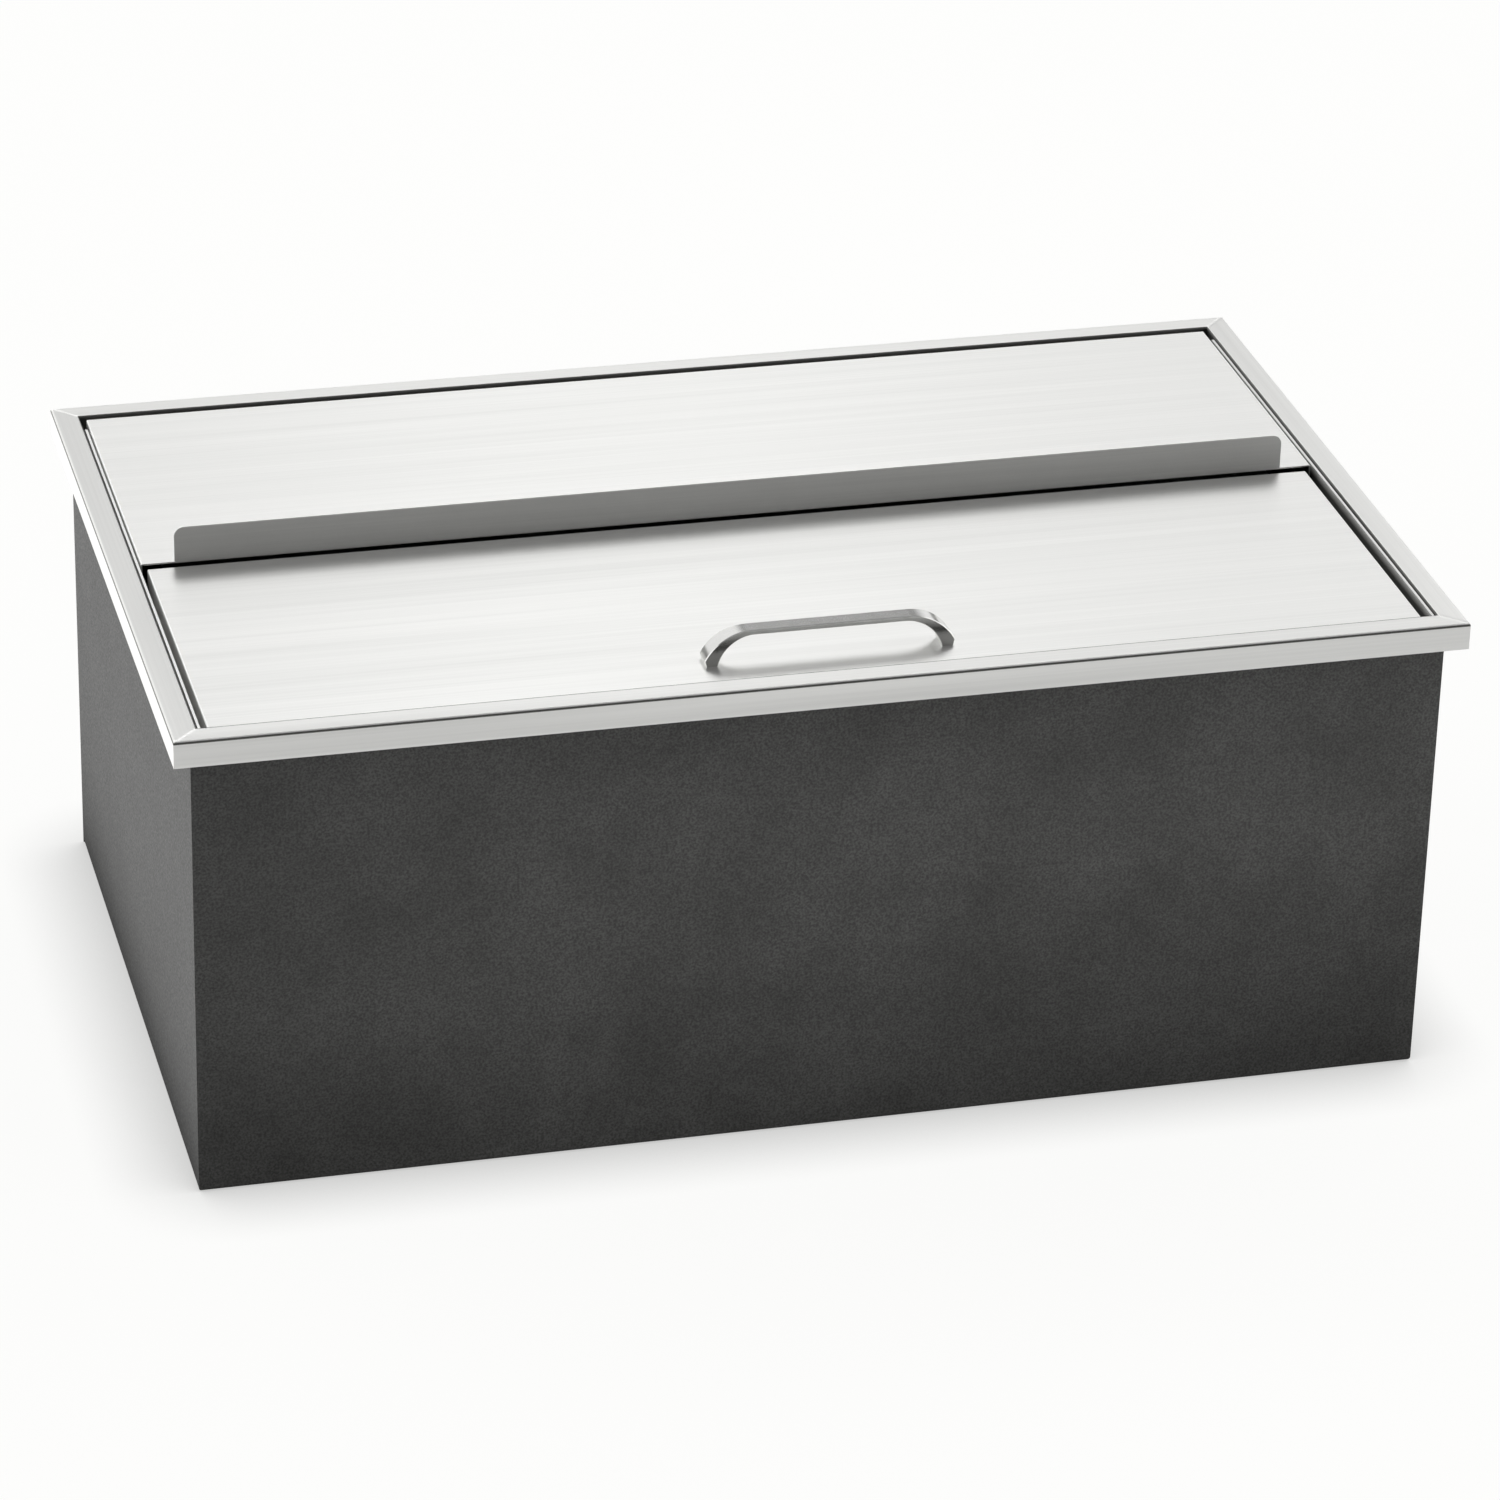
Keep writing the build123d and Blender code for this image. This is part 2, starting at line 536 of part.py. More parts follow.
def make_drain_strainer():
    """A perforated disc with a knob to lift it by."""
    bottom = DRAIN_SEAT_HEIGHT + SEAT_CLEARANCE
    top = bottom + STRAINER_SHEET
    disc = upright_cylinder(DRAIN_SEAT_RADIUS - STRAINER_CLEARANCE, bottom, top)
    holes = []
    for ring_radius, count in zip(STRAINER_RING_RADII, STRAINER_RING_COUNTS):
        for place in PolarLocations(ring_radius, count):
            holes.append(place * upright_cylinder(STRAINER_HOLE_RADIUS, bottom, top))
    stem_top = top + STRAINER_STEM_HEIGHT
    stem = upright_cylinder(STRAINER_STEM_RADIUS, top, stem_top)
    knob = upright_cylinder(STRAINER_KNOB_RADIUS, stem_top, stem_top + STRAINER_KNOB_HEIGHT)
    knob = chamfer(knob.edges().filter_by(GeomType.CIRCLE), STRAINER_KNOB_HEIGHT / 4)
    return disc - holes + stem + knob


def make_front_cover():
    """A folded pan with turned-in returns, open below, with holes for the handle's screws."""
    length = FRONT_COVER_LENGTH
    depth = FRONT_COVER_DEPTH
    pan = centred_block(length, depth, -FRONT_PAN_HEIGHT, 0)
    top_edges = pan.edges().filter_by_position(Axis.Z, 0, 0)
    pan = fillet(top_edges + pan.edges().filter_by(Axis.Z), COVER_BEND_RADIUS)
    inner_length = length - 2 * COVER_SHEET
    inner_depth = depth - 2 * COVER_SHEET
    hollow = centred_block(inner_length, inner_depth, COVER_SHEET - FRONT_PAN_HEIGHT, -COVER_SHEET)
    way_length = length - 2 * FRONT_SIDE_RETURN
    way_depth = depth - 2 * FRONT_END_RETURN
    way_in = centred_block(way_length, way_depth, -FRONT_PAN_HEIGHT, COVER_SHEET - FRONT_PAN_HEIGHT)
    pan = Pos(-FRONT_REST_SHIFT, FRONT_COVER_CENTRE_Y, FRONT_COVER_TOP) * (pan - hollow - way_in)
    hole_radius = HANDLE_SCREW_RADIUS + HANDLE_HOLE_CLEARANCE
    holes = []
    for x in handle_screw_columns():
        holes.append(upright_cylinder(hole_radius, FRONT_COVER_UNDERSIDE, FRONT_COVER_TOP, x, HANDLE_Y))
    return pan - holes


def make_front_cover_glide(side):
    """An L-shaped plastic strip: it slides on the ledge, and its rib runs inside the tub's wall."""
    shift = -FRONT_REST_SHIFT
    rib_face = side * (TUB_LENGTH / 2 - GLIDE_PLAY)
    rib_inner = rib_face - side * GLIDE_RIB_THICKNESS
    front = FRONT_COVER_FRONT_Y + GLIDE_END_INSET
    back = -FRONT_SEAM_GAP - GLIDE_END_INSET
    web_x = (rib_inner + shift, rib_inner + side * GLIDE_WIDTH + shift)
    web = block(web_x, (front, back), (GLIDE_BOTTOM, FRONT_PAN_BOTTOM))
    straight_end = TUB_DEPTH / 2 - LINER_CORNER_RADIUS - GLIDE_RIB_END_GAP
    rib_back = min(back, straight_end - FRONT_COVER_TRAVEL)
    rib_x = (rib_inner + shift, rib_face + shift)
    rib = block(rib_x, (-straight_end, rib_back), (LEDGE_TOP - GLIDE_RIB_DEPTH, FRONT_PAN_BOTTOM))
    return web + rib


def handle_screw_columns():
    """The X places of the handle's two screws."""
    return [side * HANDLE_HOLE_SPACING / 2 + HANDLE_X for side in (-1, 1)]


def arc_run(radius, drop):
    """How far an arc that starts level runs sideways while it comes down by the given drop."""
    return math.sqrt(2 * radius * drop - drop**2)


def handle_side_face():
    """The handle's outline seen from the front, with the feet's underside on Z = 0."""
    underside = HANDLE_HEIGHT - HANDLE_BAR_THICKNESS
    heel_drop = HANDLE_HEIGHT - HANDLE_HEEL_HEIGHT
    top_end = (arc_run(HANDLE_OUTER_ARC_RADIUS, heel_drop) - HANDLE_HEEL, 0, HANDLE_HEIGHT)
    bar_end = (arc_run(HANDLE_INNER_ARC_RADIUS, underside) - HANDLE_INNER_FOOT, 0, underside)
    heel = (-HANDLE_HEEL, 0, HANDLE_HEEL_HEIGHT)
    outer_foot = (-HANDLE_OUTER_FOOT, 0, 0)
    inner_foot = (-HANDLE_INNER_FOOT, 0, 0)
    left_side = [
        Line((0, 0, HANDLE_HEIGHT), top_end),
        TangentArc(top_end, heel, tangent=(-1, 0, 0)),
        Line(heel, outer_foot),
        Line(outer_foot, inner_foot),
        TangentArc(bar_end, inner_foot, tangent=(-1, 0, 0)),
        Line(bar_end, (0, 0, underside)),
    ]
    right_side = [mirror(piece, about=Plane.YZ) for piece in left_side]
    return make_face(left_side + right_side)


def handle_plan_face():
    """The handle's outline seen from above: the legs widen from the bar to the feet."""
    foot = HANDLE_FOOT_DEPTH / 2
    bar = HANDLE_BAR_DEPTH / 2
    bar_end = HANDLE_HEEL - arc_run(HANDLE_OUTER_ARC_RADIUS, HANDLE_HEIGHT - HANDLE_HEEL_HEIGHT)
    leg_end = HANDLE_INNER_FOOT
    right_half = Polyline((0, bar), (bar_end, bar), (leg_end, foot), (HANDLE_HEEL, foot), (HANDLE_HEEL, 0))
    back_line = [right_half, mirror(right_half, about=Plane.YZ)]
    front_line = [mirror(piece, about=Plane.XZ) for piece in back_line]
    return make_face(back_line + front_line)


def make_pull_handle():
    """The bow handle: its front and plan outlines cut each other, and its long edges are broken."""
    side_solid = extrude(handle_side_face(), HANDLE_FOOT_DEPTH / 2, both=True)
    plan_solid = extrude(handle_plan_face(), HANDLE_HEIGHT)
    handle = side_solid & plan_solid
    across = handle.edges().filter_by(Axis.Y)
    upright = handle.edges().filter_by(Axis.Z)
    on_cover = handle.edges().filter_by_position(Axis.Z, 0, 0)
    handle = chamfer(handle.edges() - across - upright - on_cover, HANDLE_EDGE_CHAMFER)
    handle = Pos(HANDLE_X, HANDLE_Y, FRONT_COVER_TOP) * handle
    tap_radius = HANDLE_SCREW_RADIUS + THREAD_FIT
    tap_top = FRONT_COVER_TOP + HANDLE_TAP_DEPTH
    columns = handle_screw_columns()
    return handle - [upright_cylinder(tap_radius, FRONT_COVER_TOP, tap_top, x, HANDLE_Y) for x in columns]


def make_handle_screws():
    """Pan-head screws up through the front cover into the handle's legs."""
    washer_bottom = FRONT_COVER_UNDERSIDE - HANDLE_WASHER_THICKNESS
    head_bottom = washer_bottom - HANDLE_SCREW_HEAD_HEIGHT
    screws = []
    for x in handle_screw_columns():
        head = upright_cylinder(HANDLE_SCREW_HEAD_RADIUS, head_bottom, washer_bottom, x, HANDLE_Y)
        head = chamfer(head.edges().sort_by(Axis.Z)[0], HANDLE_SCREW_HEAD_HEIGHT / 3)
        shank_top = FRONT_COVER_TOP + HANDLE_SCREW_REACH
        shank = upright_cylinder(HANDLE_SCREW_RADIUS, washer_bottom, shank_top, x, HANDLE_Y)
        screws.append(head + shank)
    return Compound(children=screws)


def make_handle_washers():
    """Flat washers between the screw heads and the cover's skin."""
    bottom = FRONT_COVER_UNDERSIDE - HANDLE_WASHER_THICKNESS
    inner = HANDLE_SCREW_RADIUS + HANDLE_HOLE_CLEARANCE
    washer = ring(HANDLE_WASHER_RADIUS, inner, bottom, FRONT_COVER_UNDERSIDE)
    return Compound(children=[Pos(x, HANDLE_Y, 0) * washer for x in handle_screw_columns()])


def make_rear_cover():
    """The rear cover: skin, side and back flanges, and the upright lip on the front edge."""
    half = REAR_COVER_LENGTH / 2
    back = REAR_COVER_DEPTH
    bottom = REAR_FLANGE_BOTTOM
    cover = block((-half, half), (0, back), (bottom, REAR_COVER_TOP))
    side_corners = cover.edges().filter_by(Axis.Z).sort_by(Axis.Y)[-2:]
    top_edges = cover.edges().filter_by_position(Axis.Z, REAR_COVER_TOP, REAR_COVER_TOP)
    front_edge = top_edges.sort_by(Axis.Y)[0]
    cover = fillet(side_corners + (top_edges - [front_edge]), COVER_BEND_RADIUS)
    inner = half - COVER_SHEET
    cover -= block((-inner, inner), (0, back - COVER_SHEET), (bottom, REAR_COVER_UNDERSIDE))
    return_front = back - COVER_SHEET - REAR_RETURN_WIDTH
    cover += block((-inner, inner), (return_front, back - COVER_SHEET), (bottom, bottom + COVER_SHEET))
    return cover + make_lip()


def make_lip():
    """The upright lip, with its rounded top corners and the bend at its foot."""
    length = REAR_COVER_LENGTH - 2 * LIP_END_INSET
    top = REAR_COVER_TOP + LIP_HEIGHT
    lip = block((-length / 2, length / 2), (0, COVER_SHEET), (REAR_COVER_TOP, top))
    corners = lip.edges().filter_by(Axis.Y).filter_by_position(Axis.Z, top, top)
    lip = fillet(corners, LIP_CORNER_RADIUS)
    bend_front = COVER_SHEET
    bend = block(
        (-length / 2, length / 2),
        (bend_front, bend_front + LIP_BEND_RADIUS),
        (REAR_COVER_TOP, REAR_COVER_TOP + LIP_BEND_RADIUS),
    )
    axis_point = (0, bend_front + LIP_BEND_RADIUS, REAR_COVER_TOP + LIP_BEND_RADIUS)
    round_way = Plane(origin=axis_point, z_dir=(1, 0, 0)) * Circle(LIP_BEND_RADIUS)
    return lip + (bend - extrude(round_way, length / 2, both=True))


PIECES = {
    "rim_frame": make_rim_frame(),
    "inner_liner": make_inner_liner(),
    "left_rear_guide": make_rear_guide(-1),
    "right_rear_guide": make_rear_guide(1),
    "counter_gasket": make_counter_gasket(),
    "front_insulation": make_long_insulation(-1),
    "rear_insulation": make_long_insulation(1),
    "left_insulation": make_end_insulation(-1),
    "right_insulation": make_end_insulation(1),
    "base_insulation": make_base_insulation(),
    "casing_wrap": make_casing_wrap(),
    "casing_back_panel": make_casing_back_panel(),
    "casing_rivets": make_casing_rivets(),
    "base_panel": make_base_panel(),
    "base_screws": make_base_screws(),
    "drain_body": make_drain_body(),
    "drain_flange_gasket": make_drain_flange_gasket(),
    "drain_under_washer": make_drain_under_washer(),
    "drain_locknut": make_drain_locknut(),
    "drain_strainer": make_drain_strainer(),
    "front_cover": make_front_cover(),
    "front_cover_left_glide": make_front_cover_glide(-1),
    "front_cover_right_glide": make_front_cover_glide(1),
    "pull_handle": make_pull_handle(),
    "handle_screws": make_handle_screws(),
    "handle_washers": make_handle_washers(),
    "rear_cover": make_rear_cover(),
}

os.makedirs("parts", exist_ok=True)
for name, piece in PIECES.items():
    export_step(piece, f"parts/{name}.step")
print(f"front cover travel: {FRONT_COVER_TRAVEL:.2f} mm")
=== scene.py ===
"""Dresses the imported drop-in ice bin: finishes, the drain's thread, small fasteners, a studio."""

import math

import bmesh
import bpy
from mathutils import Matrix, Vector


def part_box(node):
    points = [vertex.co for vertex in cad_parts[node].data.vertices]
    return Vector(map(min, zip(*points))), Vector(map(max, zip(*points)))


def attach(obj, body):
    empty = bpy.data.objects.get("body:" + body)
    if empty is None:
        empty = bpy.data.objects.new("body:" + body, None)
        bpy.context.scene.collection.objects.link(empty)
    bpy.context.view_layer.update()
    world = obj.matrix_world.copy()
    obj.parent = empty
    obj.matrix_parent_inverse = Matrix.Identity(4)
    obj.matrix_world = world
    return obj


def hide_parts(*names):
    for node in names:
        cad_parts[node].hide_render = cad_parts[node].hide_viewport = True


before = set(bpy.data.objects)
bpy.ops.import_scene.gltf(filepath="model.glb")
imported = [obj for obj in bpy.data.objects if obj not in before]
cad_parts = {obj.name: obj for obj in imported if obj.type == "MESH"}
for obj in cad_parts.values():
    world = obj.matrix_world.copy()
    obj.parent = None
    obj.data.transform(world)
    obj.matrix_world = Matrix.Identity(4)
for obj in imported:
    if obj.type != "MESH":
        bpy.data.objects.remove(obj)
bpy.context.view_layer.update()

bl_info = {
    "name": "Drop-in ice bin",
    "version": (1, 0, 0),
    "blender": (4, 5, 0),
    "location": "3D View > Sidebar > Ice Bin",
    "description": "Finishes and small parts of a drop-in ice bin with two stainless covers",
    "category": "Object",
}

MM = 0.001
FULL_TURN = 2 * math.pi
# Points nearer than this are one point
WELD = 1e-6
# Noise runs from 0 to 1 but seldom leaves this span, so ranges over noise begin and end here
NOISE_SPAN = {"From Min": 0.3, "From Max": 0.7}


def linear(code):
    """An sRGB hex colour as the linear numbers that Blender works in."""
    channels = [int(code[place : place + 2], 16) / 255 for place in (0, 2, 4)]
    return tuple(c / 12.92 if c <= 0.04045 else ((c + 0.055) / 1.055) ** 2.4 for c in channels)


def colour_property(name, description, code):
    """A colour that a user may change, given as sRGB hex."""
    return bpy.props.FloatVectorProperty(
        name=name, description=description, subtype="COLOR", size=3, min=0, max=1,
        default=linear(code),
    )


def length_property(name, description, millimetres):
    """A length that a user may change, given in millimetres."""
    return bpy.props.FloatProperty(
        name=name, description=description, unit="LENGTH", min=0, default=millimetres * MM
    )


def share_property(name, description, default):
    """A number from 0 to 1."""
    return bpy.props.FloatProperty(
        name=name, description=description, subtype="FACTOR", min=0, max=1, default=default
    )


def level_property(name, description, default):
    """A light level, where 1 is white."""
    return bpy.props.FloatProperty(
        name=name, description=description, min=0, max=20, default=default
    )


def power_property(name, description, watts):
    """A lamp's power in watts."""
    return bpy.props.FloatProperty(
        name=name, description=description, unit="POWER", min=0, default=watts
    )


class IceBinFinishes(bpy.types.PropertyGroup):
    """Colours and grain of the bin's surfaces."""

    cover: colour_property("Covers", "Brushed steel of the covers and the left guide", "efefed")
    rim: colour_property("Rim", "Brushed steel of the rim and the right guide", "e9e9e7")
    # The recess colour is painted shade: the rim's inside, its outer fold line and the right
    # guide's lower part are darkened to it
    recess: colour_property("Recess", "Unbrushed steel down in the gaps round the covers", "60605e")
    tub: colour_property("Tub", "Stainless steel of the tub", "d2d3d3")
    handle: colour_property("Handle", "Satin steel of the handle and the drain", "d4d4d2")
    casing: colour_property("Casing", "Powder coat on the casing", "2a2a29")
    casing_pale: colour_property("Casing, pale", "Paler patches of the powder coat", "343433")
    foam: colour_property("Foam board", "Bead foam round the tub", "e6e2d6")
    strip: colour_property("Foam strip", "Closed-cell foam under the rim", "1f1f1f")
    rubber: colour_property("Seals", "Rubber of the drain's seals", "1b1b1b")
    glide: colour_property("Glides", "Plastic of the front cover's glides", "e9e9e4")
    brass: colour_property("Locknut", "Brass of the drain's locknut", "c9a45c")
    zinc: colour_property("Screws", "Zinc plating on the screws and rivets", "b9bab8")
    spangle: colour_property("Base panel", "Hot-dip zinc on the base panel", "a3a6a8")
    sheet_roughness: share_property("Sheet roughness", "How soft the sheet's reflections are", 0.37)
    grain_pull: share_property("Grain pull", "How far brushing draws reflections out", 0.83)
    grain_spacing: length_property("Grain spacing", "Distance between drawn brush lines", 1.6)
    grain_length: length_property("Grain length", "Length of a brush line", 320)
    # How far in from the rim's outer edge the painted shade on the rim's inside begins
    inner_shade_inset: length_property("Fold line", "Width of the rim's top that is brushed", 14.8)
    # The right guide gets painted shade below the recess top, fading in over the recess fade
    recess_top: length_property("Recess top", "Height above which the right guide shines", 296.4)
    recess_fade: length_property("Recess fade", "Height over which that guide turns dull", 5)


class IceBinFasteners(bpy.types.PropertyGroup):
    """Sizes of the thread, screws and rivets that are drawn in full here."""

    tail_radius: length_property("Tail radius", "Radius over the thread of the drain's tail", 16.7)
    tail_bore: length_property("Tail bore", "Inside radius of the drain's tail", 12.7)
    tail_top: length_property("Tail top", "Height at which the thread on the tail ends", 26.5)
    thread_pitch: length_property("Thread pitch", "Pitch of the drain's pipe thread", 2.31)
    thread_depth: length_property("Thread depth", "Depth of the drain's pipe thread", 1.3)
    screw_radius: length_property("Screw radius", "Shank radius of all screws", 2)
    base_head_radius: length_property("Base screw head", "Head radius of the base screws", 4)
    handle_head_radius: length_property("Handle screw head", "Radius of a handle screw head", 3.8)
    handle_head_height: length_property("Handle head height", "Height of a handle screw head", 2.6)
    cross_width: length_property("Cross recess", "Width over the cross recess of a screw", 4.2)
    cross_depth: length_property("Cross depth", "Depth of the cross recess", 1.3)
    rivet_head_radius: length_property("Rivet head", "Head radius of the blind rivets", 4)
    rivet_head_height: length_property("Rivet head height", "How far a rivet stands out", 1.6)
    rivet_tail_length: length_property("Rivet tail", "Length of the rivets' spread tail", 3)
    rivet_pin_radius: length_property("Rivet pin", "Radius of a rivet's hole, left by its pin", 1.1)


class IceBinStudio(bpy.types.PropertyGroup):
    """Floor, light and camera."""

    floor: colour_property("Floor", "Colour of the plain floor", "fefefd")
    floor_matt: share_property("Matt floor", "Share of the light that the floor gives back", 0.08)
    floor_glow: level_property("Floor glow", "Level of the floor where the camera sees it", 0.92)
    floor_near: level_property("Floor, near", "Level of the floor by the bin, as mirrored", 0.3)
    floor_far: level_property("Floor, far", "Level of the floor farther off, as mirrored", 1.0)
    floor_fill: level_property("Floor fill", "Light from the floor on the bin", 0.12)
    contact_reach: length_property("Contact reach", "Width of the shadow where the bin stands", 60)
    contact_shade: share_property("Contact shade", "How dark the contact shadow is", 0.4)
    floor_side: length_property("Floor side", "Side of the square floor", 40000)
    bank_level: level_property("Light bank", "Brightness of the bank high behind the bin", 2.67)
    bank_middle: level_property("Bank, middle", "How much brighter the middle of the bank is", 0.4)
    card_level: level_property("Card", "Brightness low behind the bin, under the bank", 0.38)
    back_level: level_property("Back", "Brightness at both sides of the card", 1.13)
    top_level: level_property("Top", "Brightness straight above", 0.42)
    side_level: level_property("Sides", "Brightness at both sides", 1.7)
    front_level: level_property("Front", "Brightness behind the camera", 0.08)
    front_lamp: power_property("Front lamp", "Strip lamp in front that lights the casing", 0.8)
    front_panel: power_property("Front panel", "Light panel that lies in front and shines up", 24)
    left_panel: power_property("Left panel", "Light panel that lies at the left and shines up", 6.4)
    lens: bpy.props.FloatProperty(
        name="Lens", description="Focal length on a sensor 36 mm wide", unit="CAMERA", min=1,
        default=146.97,
    )


def add_node(tree, kind, inputs=None, **settings):
    """Adds a node with its settings and links.

    An input takes a value, a socket or a node, which stands for its first live output. A Mix node's
    inputs go by place: 0 is the share, 2 and 3 mix numbers, 4 and 5 vectors, and 6 and 7 colours.
    """
    node = tree.nodes.new("ShaderNode" + kind)
    for name, value in settings.items():
        setattr(node, name, value)
    for name, value in (inputs or {}).items():
        if isinstance(value, bpy.types.Node):
            value = next(output for output in value.outputs if output.enabled)
        if isinstance(value, bpy.types.NodeSocket):
            tree.links.new(value, node.inputs[name])
        else:
            node.inputs[name].default_value = value
    return node


def new_material(name):
    """A material with its empty node tree, and the place on the object that its patterns read."""
    material = bpy.data.materials.new(name)
    material.use_nodes = True
    tree = material.node_tree
    tree.nodes.clear()
    return material, tree, add_node(tree, "TexCoord").outputs["Object"]


def shaded(colour, factor):
    """A colour made darker or paler by a factor, as a node takes it."""
    return (*(min(1.0, channel * factor) for channel in colour), 1.0)


def dress(material, *nodes):
    """Gives CAD nodes a material in place of their plain one."""
    for node in nodes:
        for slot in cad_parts[node].material_slots:
            slot.material = material


# A face whose normal leans this far to X is brushed along Y
SIDE_FACE = 0.7
# The grain turns over this much to each side of the rim's mitres
MITRE_BLEND = 3 * MM
# Broad streaks against the fine lines: how much wider and longer, and their share of contrast
STREAK_WIDTH, STREAK_LENGTH, STREAK_CONTRAST = 6, 1.8, 0.7
GLOSS_SWING = 0.03
# The painted highlight along the lip's top edge begins and is full this far below its top, and
# brightens the steel this much
LIP_EDGE_START, LIP_EDGE_FULL, LIP_HIGHLIGHT_GAIN = 0.9 * MM, 0.5 * MM, 1.14
# The rim's outer fold: how far below the top its painted dark line of shade lies, and half of the
# line's width
FOLD_DROP, FOLD_HALF_WIDTH = 1.2 * MM, 0.6 * MM
# The painted shade inside the rim reaches this much farther out at front and back, which are seen
# at a low angle
FRONT_LINE_EXTRA = 0.7 * MM
# Roughness of the steel under the painted shade
SHADED_ROUGHNESS = 0.45


def brushed_stainless(name, colour, finishes, roughness, contrast, painted_shade=None):
    """Stainless sheet finished on a fine belt: long soft lines draw reflections out across them.

    The lines run along each face's long way. The real ones are 0.1 to 0.3 mm apart, too fine to
    show, so they are drawn coarser. Painted shade makes the steel darker and rougher: "frame"
    paints it on the rim's inside and as a line along its outer fold, "strip" on a guide's lower
    part.
    """
    material, tree, place = new_material(name)
    parts = add_node(tree, "SeparateXYZ", {"Vector": place}).outputs
    across_x = add_node(tree, "Math", {0: parts["X"]}, operation="ABSOLUTE")
    across_y = add_node(tree, "Math", {0: parts["Y"]}, operation="ABSOLUTE")
    normal = add_node(tree, "NewGeometry").outputs["Normal"]
    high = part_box("rim_frame")[1]
    if painted_shade:
        past = add_node(tree, "Math", {0: across_x, 1: high.x - high.y}, operation="SUBTRACT")
        past = add_node(tree, "Math", {0: past, 1: across_y}, operation="SUBTRACT")
        along_y = add_node(
            tree, "MapRange", {"Value": past, "From Min": -MITRE_BLEND, "From Max": MITRE_BLEND}
        )
    else:
        facing = add_node(tree, "SeparateXYZ", {"Vector": normal}).outputs["X"]
        facing = add_node(tree, "Math", {0: facing}, operation="ABSOLUTE")
        along_y = add_node(tree, "Math", {0: facing, 1: SIDE_FACE}, operation="GREATER_THAN")

    # Noise drawn out along X and along Y, one of which shows on each face
    spacing, length = finishes.grain_spacing, finishes.grain_length
    grains = []
    for across, along in ((spacing, length), (spacing * STREAK_WIDTH, length * STREAK_LENGTH)):
        drawn = []
        for run in ((along, across, across), (across, along, across)):
            scale = tuple(1 / size for size in run)
            stretched = add_node(tree, "Mapping", {"Vector": place, "Scale": scale})
            noise = add_node(tree, "TexNoise", {"Vector": stretched, "Scale": 1.0})
            drawn.append(noise.outputs["Fac"])
        grains.append(add_node(tree, "Mix", {0: along_y, 2: drawn[0], 3: drawn[1]}))
    fine, broad = grains

    shade = add_node(
        tree, "MapRange", {"Value": fine, "To Min": 1 - contrast, "To Max": 1.0, **NOISE_SPAN}
    )
    streaks = add_node(tree, "MapRange", {
        "Value": broad, "To Min": 1 - STREAK_CONTRAST * contrast, "To Max": 1.0, **NOISE_SPAN,
    })
    shade = add_node(tree, "Math", {0: shade, 1: streaks}, operation="MULTIPLY")
    # A painted highlight: the steel is made brighter along the lip's top edge
    lip_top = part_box("rear_cover")[1].z
    bright = add_node(tree, "MapRange", {
        "Value": parts["Z"], "From Min": lip_top - LIP_EDGE_START,
        "From Max": lip_top - LIP_EDGE_FULL, "To Min": 1.0, "To Max": LIP_HIGHLIGHT_GAIN,
    })
    shade = add_node(tree, "Math", {0: shade, 1: bright}, operation="MULTIPLY")
    tone = add_node(tree, "VectorMath", {0: colour, "Scale": shade}, operation="SCALE")
    gloss = add_node(tree, "MapRange", {
        "Value": broad, "To Min": roughness + GLOSS_SWING, "To Max": roughness - GLOSS_SWING,
        **NOISE_SPAN,
    })
    # Painted shade: the rim's inside and a line along its outer fold, or a guide's lower part, are
    # darkened to the recess colour and made rougher
    if painted_shade == "frame":
        line_x = high.x - finishes.inner_shade_inset
        line_y = high.y - finishes.inner_shade_inset + FRONT_LINE_EXTRA
        inside_x = add_node(tree, "Math", {0: across_x, 1: line_x}, operation="LESS_THAN")
        inside_y = add_node(tree, "Math", {0: across_y, 1: line_y}, operation="LESS_THAN")
        shade_mask = add_node(tree, "Math", {0: inside_x, 1: inside_y}, operation="MULTIPLY")
        # A painted dark line of shade along the rim's outer fold
        fold = add_node(
            tree, "Math", {0: parts["Z"], 1: high.z - FOLD_DROP, 2: FOLD_HALF_WIDTH},
            operation="COMPARE",
        )
        shade_mask = add_node(tree, "Math", {0: shade_mask, 1: fold}, operation="MAXIMUM")
    elif painted_shade == "strip":
        shade_mask = add_node(tree, "MapRange", {
            "Value": parts["Z"], "To Min": 1.0, "To Max": 0.0,
            "From Min": finishes.recess_top - finishes.recess_fade,
            "From Max": finishes.recess_top,
        })
    if painted_shade:
        dull = shaded(finishes.recess, 1)
        tone = add_node(tree, "Mix", {0: shade_mask, 6: tone, 7: dull}, data_type="RGBA")
        gloss = add_node(tree, "Mix", {0: shade_mask, 2: gloss, 3: SHADED_ROUGHNESS})
    grain_way = add_node(
        tree, "Mix", {0: along_y, 4: (1.0, 0.0, 0.0), 5: (0.0, 1.0, 0.0)}, data_type="VECTOR"
    )
    tangent = add_node(tree, "VectorMath", {0: normal, 1: grain_way}, operation="CROSS_PRODUCT")
    relief = add_node(tree, "Bump", {"Height": fine, "Distance": 0.015 * MM, "Strength": 0.4})
    shader = add_node(tree, "BsdfPrincipled", {
        "Base Color": tone, "Metallic": 1.0, "Roughness": gloss,
        "Anisotropic": finishes.grain_pull, "Tangent": tangent, "Normal": relief,
    })
    add_node(tree, "OutputMaterial", {"Surface": shader})
    return material


